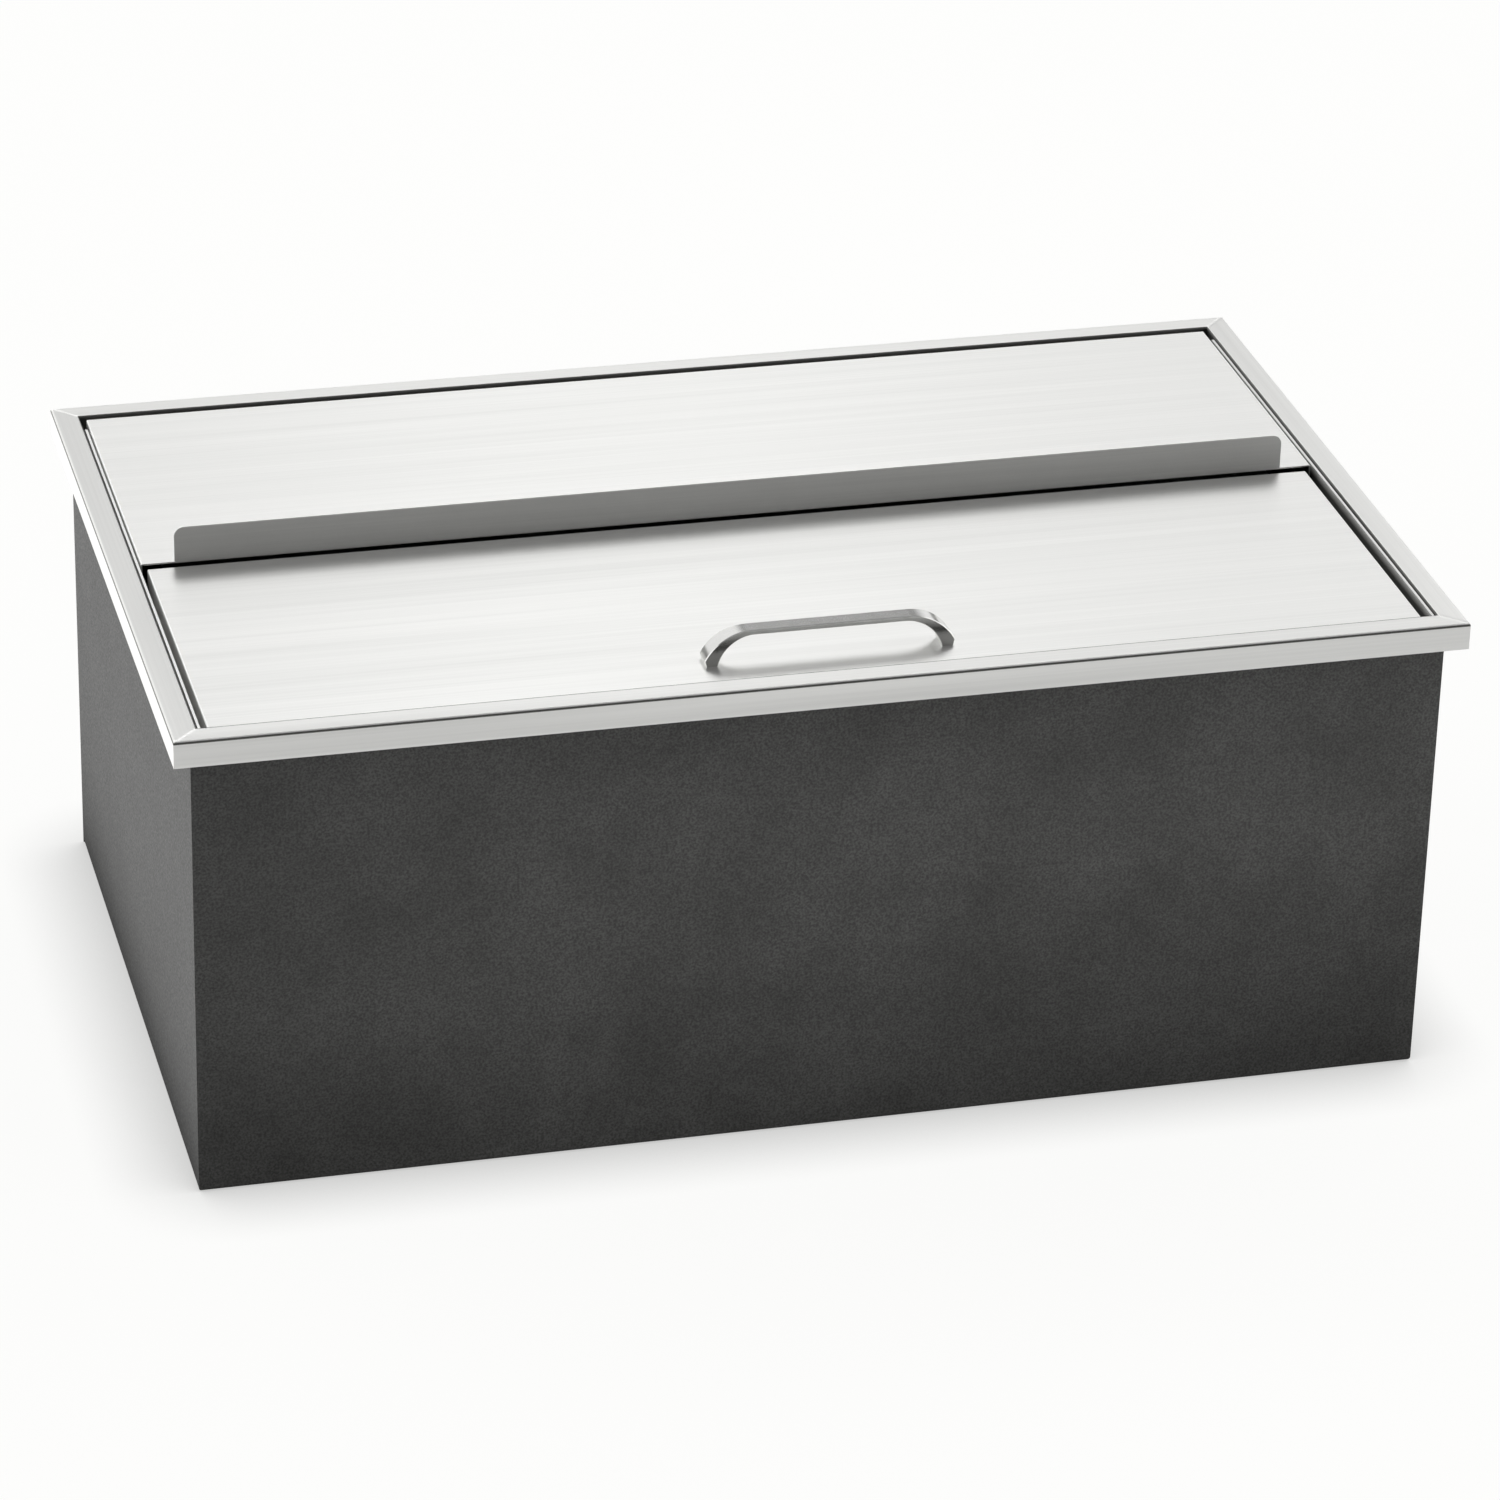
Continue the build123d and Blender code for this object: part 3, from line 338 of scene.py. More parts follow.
def textured_powder_coat(finishes):
    """Polyester powder coat baked to a fine leather texture: matt, speckled, glossier seen low."""
    material, tree, place = new_material("textured_powder_coat")
    # The real grain is about 0.5 mm, and is drawn coarser so that it shows
    patch, speck, wrinkle = 70 * MM, 1.4 * MM, 2.4 * MM
    patches = add_node(
        tree, "TexNoise", {"Vector": place, "Scale": 1 / patch, "Detail": 6.0, "Roughness": 0.7}
    ).outputs["Fac"]
    specks = add_node(
        tree, "TexNoise", {"Vector": place, "Scale": 1 / speck, "Detail": 2.0, "Roughness": 0.6}
    ).outputs["Fac"]
    wrinkles = add_node(
        tree, "TexVoronoi", {"Vector": place, "Scale": 1 / wrinkle}, feature="SMOOTH_F1"
    ).outputs["Distance"]
    share = add_node(tree, "MapRange", {"Value": patches, "From Min": 0.36, "From Max": 0.66})
    colour = add_node(
        tree, "Mix", {0: share, 6: shaded(finishes.casing, 1), 7: shaded(finishes.casing_pale, 1)},
        data_type="RGBA",
    )
    speckle = add_node(tree, "MapRange", {
        "Value": specks, "From Min": 0.35, "From Max": 0.65, "To Min": 0.6, "To Max": 1.45,
    })
    tone = add_node(tree, "VectorMath", {0: colour, "Scale": speckle}, operation="SCALE")
    gloss = add_node(
        tree, "MapRange", {"Value": specks, "To Min": 0.66, "To Max": 0.5, **NOISE_SPAN}
    )
    height = add_node(tree, "Mix", {0: 0.5, 2: specks, 3: wrinkles})
    relief = add_node(tree, "Bump", {"Height": height, "Distance": 0.25 * MM, "Strength": 0.8})
    shader = add_node(tree, "BsdfPrincipled", {
        "Base Color": tone, "Roughness": gloss, "Specular IOR Level": 0.42, "Normal": relief,
    })
    add_node(tree, "OutputMaterial", {"Surface": shader})
    return material


def bead_foam(finishes):
    """Expanded polystyrene board: matt, with beads about 4 mm across pressed flat together."""
    material, tree, place = new_material("expanded_bead_foam")
    bead = 4 * MM
    beads = add_node(
        tree, "TexVoronoi", {"Vector": place, "Scale": 1 / bead}
    ).outputs["Distance"]
    share = add_node(tree, "MapRange", {"Value": beads, "From Min": 0.1, "From Max": 0.7})
    tone = add_node(
        tree, "Mix", {0: share, 6: shaded(finishes.foam, 1), 7: shaded(finishes.foam, 0.8)},
        data_type="RGBA",
    )
    crown = add_node(tree, "Math", {0: 1.0, 1: beads}, operation="SUBTRACT")
    relief = add_node(tree, "Bump", {"Height": crown, "Distance": 0.4 * MM, "Strength": 0.6})
    shader = add_node(
        tree, "BsdfPrincipled", {"Base Color": tone, "Roughness": 0.85, "Normal": relief}
    )
    add_node(tree, "OutputMaterial", {"Surface": shader})
    return material


def closed_cell_foam(finishes):
    """Closed-cell foam strip: dull black with open pores of about 1 mm at its cut face."""
    material, tree, place = new_material("closed_cell_foam")
    pore = 1 * MM
    pores = add_node(
        tree, "TexVoronoi", {"Vector": place, "Scale": 1 / pore}
    ).outputs["Distance"]
    # The pores' middles are painted darker, as shade in the open pores
    share = add_node(tree, "MapRange", {"Value": pores, "From Min": 0.05, "From Max": 0.5})
    tone = add_node(
        tree, "Mix", {0: share, 6: shaded(finishes.strip, 0.4), 7: shaded(finishes.strip, 1)},
        data_type="RGBA",
    )
    relief = add_node(tree, "Bump", {"Height": pores, "Distance": 0.25 * MM, "Strength": 0.6})
    shader = add_node(
        tree, "BsdfPrincipled", {"Base Color": tone, "Roughness": 0.9, "Normal": relief}
    )
    add_node(tree, "OutputMaterial", {"Surface": shader})
    return material


def moulded_rubber(finishes):
    """EPDM rubber moulded in a blasted tool: black and dull, with a faint bloom."""
    material, tree, place = new_material("moulded_rubber")
    patch, grit = 6 * MM, 0.5 * MM
    bloom = add_node(
        tree, "TexNoise", {"Vector": place, "Scale": 1 / patch, "Detail": 3.0}
    ).outputs["Fac"]
    share = add_node(tree, "MapRange", {"Value": bloom, "From Min": 0.4, "From Max": 0.8})
    tone = add_node(
        tree, "Mix", {0: share, 6: shaded(finishes.rubber, 1), 7: shaded(finishes.rubber, 1.9)},
        data_type="RGBA",
    )
    blasted = add_node(tree, "TexNoise", {"Vector": place, "Scale": 1 / grit}).outputs["Fac"]
    relief = add_node(tree, "Bump", {"Height": blasted, "Distance": 0.03 * MM, "Strength": 1.0})
    shader = add_node(
        tree, "BsdfPrincipled", {"Base Color": tone, "Roughness": 0.62, "Normal": relief}
    )
    add_node(tree, "OutputMaterial", {"Surface": shader})
    return material


def milled_polyethylene(finishes):
    """High-density polyethylene milled from sheet: waxy white with faint cutter lines."""
    material, tree, place = new_material("milled_polyethylene")
    line, pitch = 30 * MM, 1.2 * MM
    stretched = add_node(
        tree, "Mapping", {"Vector": place, "Scale": (1 / line, 1 / pitch, 1 / line)}
    )
    cuts = add_node(tree, "TexNoise", {"Vector": stretched, "Scale": 1.0}).outputs["Fac"]
    share = add_node(tree, "MapRange", {"Value": cuts, "From Min": 0.35, "From Max": 0.7})
    tone = add_node(
        tree, "Mix", {0: share, 6: shaded(finishes.glide, 1), 7: shaded(finishes.glide, 0.93)},
        data_type="RGBA",
    )
    relief = add_node(tree, "Bump", {"Height": cuts, "Distance": 0.03 * MM, "Strength": 1.0})
    shader = add_node(tree, "BsdfPrincipled", {
        "Base Color": tone, "Roughness": 0.42, "Subsurface Weight": 0.12,
        "Subsurface Scale": 1.5 * MM, "Normal": relief,
    })
    add_node(tree, "OutputMaterial", {"Surface": shader})
    return material


def turned_metal(name, colour, roughness, ring_spacing):
    """Metal turned on a lathe about the Z axis: fine rings that draw the light into a fan."""
    material, tree, place = new_material(name)
    parts = add_node(tree, "SeparateXYZ", {"Vector": place}).outputs
    flat = add_node(tree, "CombineXYZ", {"X": parts["X"], "Y": parts["Y"]})
    radius = add_node(tree, "VectorMath", {0: flat}, operation="LENGTH").outputs["Value"]
    lathe = add_node(tree, "CombineXYZ", {"X": radius, "Y": parts["Z"]})
    rings = add_node(tree, "TexNoise", {"Vector": lathe, "Scale": 1 / ring_spacing}).outputs["Fac"]
    share = add_node(tree, "MapRange", {"Value": rings, **NOISE_SPAN})
    tone = add_node(
        tree, "Mix", {0: share, 6: shaded(colour, 0.93), 7: shaded(colour, 1)}, data_type="RGBA"
    )
    swing = 0.04
    gloss = add_node(tree, "MapRange", {
        "Value": rings, "To Min": roughness - swing, "To Max": roughness + swing, **NOISE_SPAN,
    })
    relief = add_node(tree, "Bump", {"Height": rings, "Distance": 0.02 * MM, "Strength": 0.5})
    shader = add_node(tree, "BsdfPrincipled", {
        "Base Color": tone, "Metallic": 1.0, "Roughness": gloss, "Normal": relief,
    })
    add_node(tree, "OutputMaterial", {"Surface": shader})
    return material


def satin_polished_steel(finishes):
    """Cast stainless steel, satin polished on a soft wheel: a soft mirror, a little clouded."""
    material, tree, place = new_material("satin_polished_steel")
    patch, scratch_length, scratch_width = 9 * MM, 12 * MM, 0.5 * MM
    cloud = add_node(
        tree, "TexNoise", {"Vector": place, "Scale": 1 / patch, "Detail": 3.0}
    ).outputs["Fac"]
    share = add_node(tree, "MapRange", {"Value": cloud, **NOISE_SPAN})
    tone = add_node(
        tree, "Mix", {0: share, 6: shaded(finishes.handle, 0.94), 7: shaded(finishes.handle, 1)},
        data_type="RGBA",
    )
    scale = (1 / scratch_length, 1 / scratch_width, 1 / scratch_width)
    stretched = add_node(tree, "Mapping", {"Vector": place, "Scale": scale})
    scratches = add_node(tree, "TexNoise", {"Vector": stretched, "Scale": 1.0}).outputs["Fac"]
    gloss = add_node(
        tree, "MapRange", {"Value": scratches, "To Min": 0.13, "To Max": 0.19, **NOISE_SPAN}
    )
    relief = add_node(tree, "Bump", {"Height": scratches, "Distance": 0.01 * MM, "Strength": 0.5})
    shader = add_node(tree, "BsdfPrincipled", {
        "Base Color": tone, "Metallic": 1.0, "Roughness": gloss, "Normal": relief,
    })
    add_node(tree, "OutputMaterial", {"Surface": shader})
    return material


def clear_zinc_plate(finishes):
    """Bright zinc over steel, clear passivated: a little blue, a little uneven."""
    material, tree, place = new_material("clear_zinc_plate")
    patch = 2.5 * MM
    cloud = add_node(
        tree, "TexNoise", {"Vector": place, "Scale": 1 / patch, "Detail": 3.0}
    ).outputs["Fac"]
    share = add_node(tree, "MapRange", {"Value": cloud, **NOISE_SPAN})
    tone = add_node(
        tree, "Mix", {0: share, 6: shaded(finishes.zinc, 0.85), 7: shaded(finishes.zinc, 1)},
        data_type="RGBA",
    )
    gloss = add_node(
        tree, "MapRange", {"Value": cloud, "To Min": 0.26, "To Max": 0.36, **NOISE_SPAN}
    )
    shader = add_node(
        tree, "BsdfPrincipled", {"Base Color": tone, "Metallic": 1.0, "Roughness": gloss}
    )
    add_node(tree, "OutputMaterial", {"Surface": shader})
    return material


def spangled_zinc(finishes):
    """Hot-dip galvanised sheet: dull zinc crystals of about 12 mm, each at its own shade."""
    material, tree, place = new_material("spangled_galvanised_sheet")
    crystal = 12 * MM
    crystals = add_node(
        tree, "TexVoronoi", {"Vector": place, "Scale": 1 / crystal}
    ).outputs["Color"]
    shade = add_node(tree, "SeparateXYZ", {"Vector": crystals}).outputs["X"]
    tone = add_node(
        tree, "Mix",
        {0: shade, 6: shaded(finishes.spangle, 0.78), 7: shaded(finishes.spangle, 1.12)},
        data_type="RGBA",
    )
    gloss = add_node(tree, "MapRange", {"Value": shade, "To Min": 0.34, "To Max": 0.52})
    shader = add_node(
        tree, "BsdfPrincipled", {"Base Color": tone, "Metallic": 1.0, "Roughness": gloss}
    )
    add_node(tree, "OutputMaterial", {"Surface": shader})
    return material


# Edges that fold more than this stay sharp
SHARP_ANGLE = math.radians(28)
# How many flats a turned screw or rivet has, and how many the drain's bore and thread have
SMALL_STEPS, BORE_STEPS, THREAD_STEPS = 24, 72, 36


def turn(shape, outline, place, axis, steps):
    """Spins an outline of radius and height points once round an axis, as on a lathe."""
    axis, foot = Vector(axis), Vector(place)
    side = axis.orthogonal().normalized()
    points = [shape.verts.new(foot + side * radius + axis * height) for radius, height in outline]
    edges = [shape.edges.new(pair) for pair in zip(points, points[1:])]
    bmesh.ops.spin(
        shape, geom=points + edges, cent=place, axis=axis, angle=FULL_TURN, steps=steps,
        use_merge=True,
    )


def rim_edges(shape, height):
    """The open edges that lie at a height."""
    edges = [edge for edge in shape.edges if edge.is_boundary]
    return [edge for edge in edges if all(abs(p.co.z - height) < WELD for p in edge.verts)]


def make_piece(name, shape, material, body, slot, *replaced):
    """Makes an object of a worked shape: it rides on a body and stands for CAD nodes."""
    bmesh.ops.remove_doubles(shape, verts=shape.verts, dist=WELD)
    bmesh.ops.recalc_face_normals(shape, faces=shape.faces)
    mesh = bpy.data.meshes.new(name)
    shape.to_mesh(mesh)
    shape.free()
    mesh.materials.append(material)
    mesh.shade_smooth()
    mesh.set_sharp_from_angle(angle=SHARP_ANGLE)
    piece = bpy.data.objects.new(name, mesh)
    bpy.context.scene.collection.objects.link(piece)
    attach(piece, body)
    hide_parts(*replaced)


# The cross recess is this much narrower at its bottom
CROSS_TAPER = 0.72


def screw_mesh(head_outline, face_radius, sizes):
    """One cross-recessed screw: its face at the origin looks up, its head and shank lie below."""
    shape = bmesh.new()
    bmesh.ops.create_grid(shape, x_segments=3, y_segments=3, size=sizes.cross_width / 2)
    # Of nine squares, the four whose middles lie out both ways are the corners between the arms
    out = sizes.cross_width / 8
    corners = [f for f in shape.faces if all(abs(part) > out for part in f.calc_center_median().xy)]
    bmesh.ops.delete(shape, geom=corners, context="FACES")
    cross = list(shape.faces)
    bmesh.ops.create_circle(shape, segments=SMALL_STEPS, radius=face_radius)
    loose = [edge for edge in shape.edges if len(edge.link_faces) < 2]
    bmesh.ops.bridge_loops(shape, edges=loose)
    sunk = bmesh.ops.extrude_face_region(shape, geom=cross)["geom"]
    floor = [item for item in sunk if isinstance(item, bmesh.types.BMVert)]
    bmesh.ops.scale(shape, verts=floor, vec=(CROSS_TAPER, CROSS_TAPER, 1.0))
    bmesh.ops.translate(shape, verts=floor, vec=(0, 0, -sizes.cross_depth))
    turn(shape, head_outline, (0, 0, 0), (0, 0, 1), SMALL_STEPS)
    bmesh.ops.remove_doubles(shape, verts=shape.verts, dist=WELD)
    mesh = bpy.data.meshes.new("one_screw")
    shape.to_mesh(mesh)
    shape.free()
    return mesh


def set_screws(shape, mesh, places):
    """Sets a screw, face down, at each place."""
    upside_down = Matrix.Rotation(math.pi, 3, "X")
    for place in places:
        before = set(shape.verts)
        shape.from_mesh(mesh)
        fresh = [point for point in shape.verts if point not in before]
        bmesh.ops.rotate(shape, verts=fresh, cent=(0, 0, 0), matrix=upside_down)
        bmesh.ops.translate(shape, verts=fresh, vec=place)
    bpy.data.meshes.remove(mesh)


def spread(low, high, count):
    """Evenly spaced numbers from the low end to the high one."""
    return [low + (high - low) * step / (count - 1) for step in range(count)]


# How deep the brush lines are drawn, as a share of the steel's shade
SHEET_CONTRAST, TUB_CONTRAST = 0.05, 0.07
# How much duller than the covers the rim and the tub are
RIM_EXTRA_ROUGHNESS, TUB_EXTRA_ROUGHNESS = 0.04, 0.05


class ICEBIN_OT_finish_covers(bpy.types.Operator):
    """Brushes the front and rear covers and the left guide, which is as bright as they are"""

    bl_idname = "ice_bin.finish_covers"
    bl_label = "Brush the covers"

    def execute(self, context):
        finishes = context.scene.ice_bin_finishes
        steel = brushed_stainless(
            "brushed_cover_stainless", tuple(finishes.cover), finishes, finishes.sheet_roughness,
            SHEET_CONTRAST,
        )
        dress(steel, "front_cover", "rear_cover", "left_rear_guide")
        return {"FINISHED"}


class ICEBIN_OT_finish_rim(bpy.types.Operator):
    """Brushes the rim and the right guide, with painted shade on the rim's inside, along its outer
    fold and on the guide's lower part
    """

    bl_idname = "ice_bin.finish_rim"
    bl_label = "Brush the rim"

    def execute(self, context):
        finishes = context.scene.ice_bin_finishes
        roughness = finishes.sheet_roughness + RIM_EXTRA_ROUGHNESS
        for name, painted_shade, node in (
            ("brushed_rim_stainless", "frame", "rim_frame"),
            ("brushed_strip_stainless", "strip", "right_rear_guide"),
        ):
            steel = brushed_stainless(
                name, tuple(finishes.rim), finishes, roughness, SHEET_CONTRAST, painted_shade
            )
            dress(steel, node)
        return {"FINISHED"}


class ICEBIN_OT_finish_tub(bpy.types.Operator):
    """Gives the tub its satin finish"""

    bl_idname = "ice_bin.finish_tub"
    bl_label = "Finish the tub"

    def execute(self, context):
        finishes = context.scene.ice_bin_finishes
        roughness = finishes.sheet_roughness + TUB_EXTRA_ROUGHNESS
        colour = tuple(finishes.tub)
        steel = brushed_stainless(
            "satin_tub_stainless", colour, finishes, roughness, TUB_CONTRAST
        )
        dress(steel, "inner_liner")
        return {"FINISHED"}


class ICEBIN_OT_finish_casing(bpy.types.Operator):
    """Coats the casing with textured powder"""

    bl_idname = "ice_bin.finish_casing"
    bl_label = "Coat the casing"

    def execute(self, context):
        coat = textured_powder_coat(context.scene.ice_bin_finishes)
        dress(coat, "casing_wrap", "casing_back_panel")
        return {"FINISHED"}


class ICEBIN_OT_finish_insulation(bpy.types.Operator):
    """Finishes the foam boards and the foam strip under the rim"""

    bl_idname = "ice_bin.finish_insulation"
    bl_label = "Finish the foam"

    def execute(self, context):
        finishes = context.scene.ice_bin_finishes
        boards = [f"{side}_insulation" for side in ("front", "rear", "left", "right", "base")]
        dress(bead_foam(finishes), *boards)
        dress(closed_cell_foam(finishes), "counter_gasket")
        return {"FINISHED"}


class ICEBIN_OT_finish_base(bpy.types.Operator):
    """Galvanises the base panel and plates the handle's washers"""

    bl_idname = "ice_bin.finish_base"
    bl_label = "Finish base and washers"

    def execute(self, context):
        finishes = context.scene.ice_bin_finishes
        dress(spangled_zinc(finishes), "base_panel")
        dress(clear_zinc_plate(finishes), "handle_washers")
        return {"FINISHED"}


class ICEBIN_OT_make_screws(bpy.types.Operator):
    """Makes the base screws and the handle's screws, with cross recesses"""

    bl_idname = "ice_bin.make_screws"
    bl_label = "Make the screws"

    def execute(self, context):
        sizes = context.scene.ice_bin_fasteners
        zinc = clear_zinc_plate(context.scene.ice_bin_finishes)
        low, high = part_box("base_screws")
        head, shank = sizes.base_head_radius, sizes.screw_radius
        tip = low.z - high.z
        # Radius and height: the cone of the head, the shank and its point
        outline = ((head, 0), (shank, shank - head), (shank, tip + shank / 2), (0, tip))
        columns = spread(low.x + head, high.x - head, 3)
        rows = spread(low.y + head, high.y - head, 2)
        shape = bmesh.new()
        places = [(x, y, low.z) for x in columns for y in rows]
        set_screws(shape, screw_mesh(outline, head, sizes), places)
        make_piece("countersunk_base_screws", shape, zinc, "bin", "zinc_screws", "base_screws")

        low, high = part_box("handle_screws")
        head, height = sizes.handle_head_radius, sizes.handle_head_height
        face, tip = 0.7 * head, low.z - high.z
        # Radius and height: the pan head's rounded shoulder, its side, and the shank
        outline = (
            (face, 0), (0.9 * head, -0.15 * height), (head, -0.45 * height), (head, -height),
            (shank, -height), (shank, tip), (0, tip),
        )
        columns = spread(low.x + head, high.x - head, 2)
        shape = bmesh.new()
        places = [(x, (low.y + high.y) / 2, low.z) for x in columns]
        set_screws(shape, screw_mesh(outline, face, sizes), places)
        make_piece(
            "pan_head_handle_screws", shape, zinc, "front_cover_body", "zinc_screws",
            "handle_screws",
        )
        return {"FINISHED"}


class ICEBIN_OT_make_rivets(bpy.types.Operator):
    """Makes the blind rivets up the back corners, with the hole that the drawn pin leaves"""

    bl_idname = "ice_bin.make_rivets"
    bl_label = "Make the rivets"

    def execute(self, context):
        sizes = context.scene.ice_bin_fasteners
        low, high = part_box("casing_rivets")
        head, rise, pin = sizes.rivet_head_radius, sizes.rivet_head_height, sizes.rivet_pin_radius
        flare, flare_top = 0.7 * head, sizes.rivet_tail_length
        body = head / 2
        seat = high.y - low.y - rise
        # Radius and height: the spread tail inside the casing, the body, the domed head, its hole
        outline = (
            (0, 0.2 * flare_top), (0.8 * flare, 0), (flare, 0.2 * flare_top), (flare, flare_top),
            (body, flare_top), (body, seat),
            (head, seat), (head, seat + 0.25 * rise), (0.85 * head, seat + 0.65 * rise),
            (0.6 * head, seat + 0.93 * rise), (1.3 * pin, seat + rise),
            (pin, seat + 0.9 * rise), (pin, seat + 0.3 * rise), (0, seat + 0.3 * rise),
        )
        shape = bmesh.new()
        for x in spread(low.x + head, high.x - head, 2):
            for z in spread(low.z + head, high.z - head, 3):
                turn(shape, outline, (x, low.y, z), (0, 1, 0), SMALL_STEPS)
        zinc = clear_zinc_plate(context.scene.ice_bin_finishes)
        make_piece("blind_casing_rivets", shape, zinc, "bin", "zinc_screws", "casing_rivets")
        return {"FINISHED"}


class ICEBIN_OT_make_drain(bpy.types.Operator):
    """Finishes the drain set and cuts the thread on its tail"""

    bl_idname = "ice_bin.make_drain"
    bl_label = "Make the drain"

    def execute(self, context):
        finishes = context.scene.ice_bin_finishes
        sizes = context.scene.ice_bin_fasteners
        foot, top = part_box("drain_body")[0].z, sizes.tail_top
        cut = {"dist": 0.1 * WELD, "clear_outer": True}

        # The flange and cup are the CAD node's, without the plain tail below them
        shape = bmesh.new()
        shape.from_mesh(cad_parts["drain_body"].data)
        bmesh.ops.remove_doubles(shape, verts=shape.verts, dist=WELD)
        bmesh.ops.bisect_plane(
            shape, geom=[*shape.verts, *shape.edges, *shape.faces],
            plane_co=(0, 0, top), plane_no=(0, 0, -1), **cut,
        )
        bmesh.ops.bridge_loops(shape, edges=rim_edges(shape, top))

        # One tooth of the thread, radius against its share of a pitch, wound up past both ends
        pitch, crest = sizes.thread_pitch, sizes.tail_radius
        root = crest - sizes.thread_depth
        tooth = ((crest, 0), (crest, 0.12), (root, 0.5), (root, 0.62), (crest, 1))
        turns = math.ceil((top - foot) / pitch) + 2
        thread = bmesh.new()
        points = [thread.verts.new((r, 0, foot + (part - 1) * pitch)) for r, part in tooth]
        edges = [thread.edges.new(pair) for pair in zip(points, points[1:])]
        bmesh.ops.spin(
            thread, geom=points + edges, cent=(0, 0, 0), axis=(0, 0, 1),
            dvec=(0, 0, pitch / THREAD_STEPS), angle=turns * FULL_TURN, steps=turns * THREAD_STEPS,
        )
        bmesh.ops.remove_doubles(thread, verts=thread.verts, dist=WELD)
        for height, way in ((foot, -1), (top, 1)):
            bmesh.ops.bisect_plane(
                thread, geom=[*thread.verts, *thread.edges, *thread.faces],
                plane_co=(0, 0, height), plane_no=(0, 0, way), **cut,
            )
        bore = ((sizes.tail_bore, foot), (sizes.tail_bore, top))
        turn(thread, bore, (0, 0, 0), (0, 0, 1), BORE_STEPS)
        for height in (foot, top):
            bmesh.ops.bridge_loops(thread, edges=rim_edges(thread, height))
        bmesh.ops.remove_doubles(thread, verts=thread.verts, dist=WELD)
        mesh = bpy.data.meshes.new("tail_thread")
        thread.to_mesh(mesh)
        thread.free()
        shape.from_mesh(mesh)
        bpy.data.meshes.remove(mesh)
        turned = turned_metal(
            "turned_stainless", tuple(finishes.handle), roughness=0.26, ring_spacing=0.5 * MM
        )
        make_piece("threaded_drain_body", shape, turned, "bin", "satin_handle_steel", "drain_body")

        for name, colour, rings, node in (
            ("punched_stainless", finishes.tub, 0.9 * MM, "drain_strainer"),
            ("turned_brass", finishes.brass, 0.5 * MM, "drain_locknut"),
        ):
            dress(turned_metal(name, tuple(colour), roughness=0.3, ring_spacing=rings), node)
        dress(moulded_rubber(finishes), "drain_flange_gasket", "drain_under_washer")
        return {"FINISHED"}


class ICEBIN_OT_finish_handle(bpy.types.Operator):
    """Finishes the handle and the glides of the front cover"""

    bl_idname = "ice_bin.finish_handle"
    bl_label = "Finish handle and glides"

    def execute(self, context):
        finishes = context.scene.ice_bin_finishes
        dress(satin_polished_steel(finishes), "pull_handle")
        dress(milled_polyethylene(finishes), "front_cover_left_glide", "front_cover_right_glide")
        return {"FINISHED"}


# Lamps, in metres: the strip lamp in front, and two light panels that lie just over the floor.
# A panel's edge is where it ends towards the bin, on Y for the front one and on X for the left one
STRIP_PLACE, STRIP_AIM = Vector((0.25, -1.1, 0.4)), Vector((0.08, -0.23, 0.155))
STRIP_SIZE, STRIP_SPREAD = (0.9, 0.1), math.radians(30)
PANEL_HEIGHT = 2 * MM
FRONT_PANEL_SIZE, FRONT_PANEL_EDGE = (5.0, 3.0), -0.85
LEFT_PANEL_SIZE, LEFT_PANEL_EDGE, LEFT_PANEL_MIDDLE = (1.6, 3.2), -0.42, 0.8

# The floor lies a hair below the resting plane, so that the casing's flanges don't share its plane
FLOOR_GAP = 0.2 * MM
# Where the floor, as the bin mirrors it, fades from its far level to its near one
FLOOR_FRONT_FADE = {"From Min": FRONT_PANEL_EDGE, "From Max": -0.45}
FLOOR_LEFT_FADE = {"From Min": LEFT_PANEL_EDGE, "From Max": -0.37}
# The contact shadow is full where no more than this share of the sky is open
CONTACT_FULL = 0.4

# Where the studio's lights begin and end on the sky, as parts of a unit vector that points there:
# X to the right, Y to the back and Z up
CARD_MIDDLE, CARD_SIDES = 0.23, {"From Min": 0.12, "From Max": 0.24}
BANK_FOOT = {"From Min": 0.546, "From Max": 0.666}
BANK_HEAD = {"From Min": 0.752, "From Max": 0.872}
LAMP_MIDDLE, LAMP_SIDES = 0.21, {"From Min": 0.02, "From Max": 0.08}
FRONT_RISE = {"From Min": 0.6, "From Max": 0.9}
SIDE_RISE = {"From Min": 0.5, "From Max": 0.8}
BACK_RISE = {"From Min": -0.1, "From Max": 0.3}


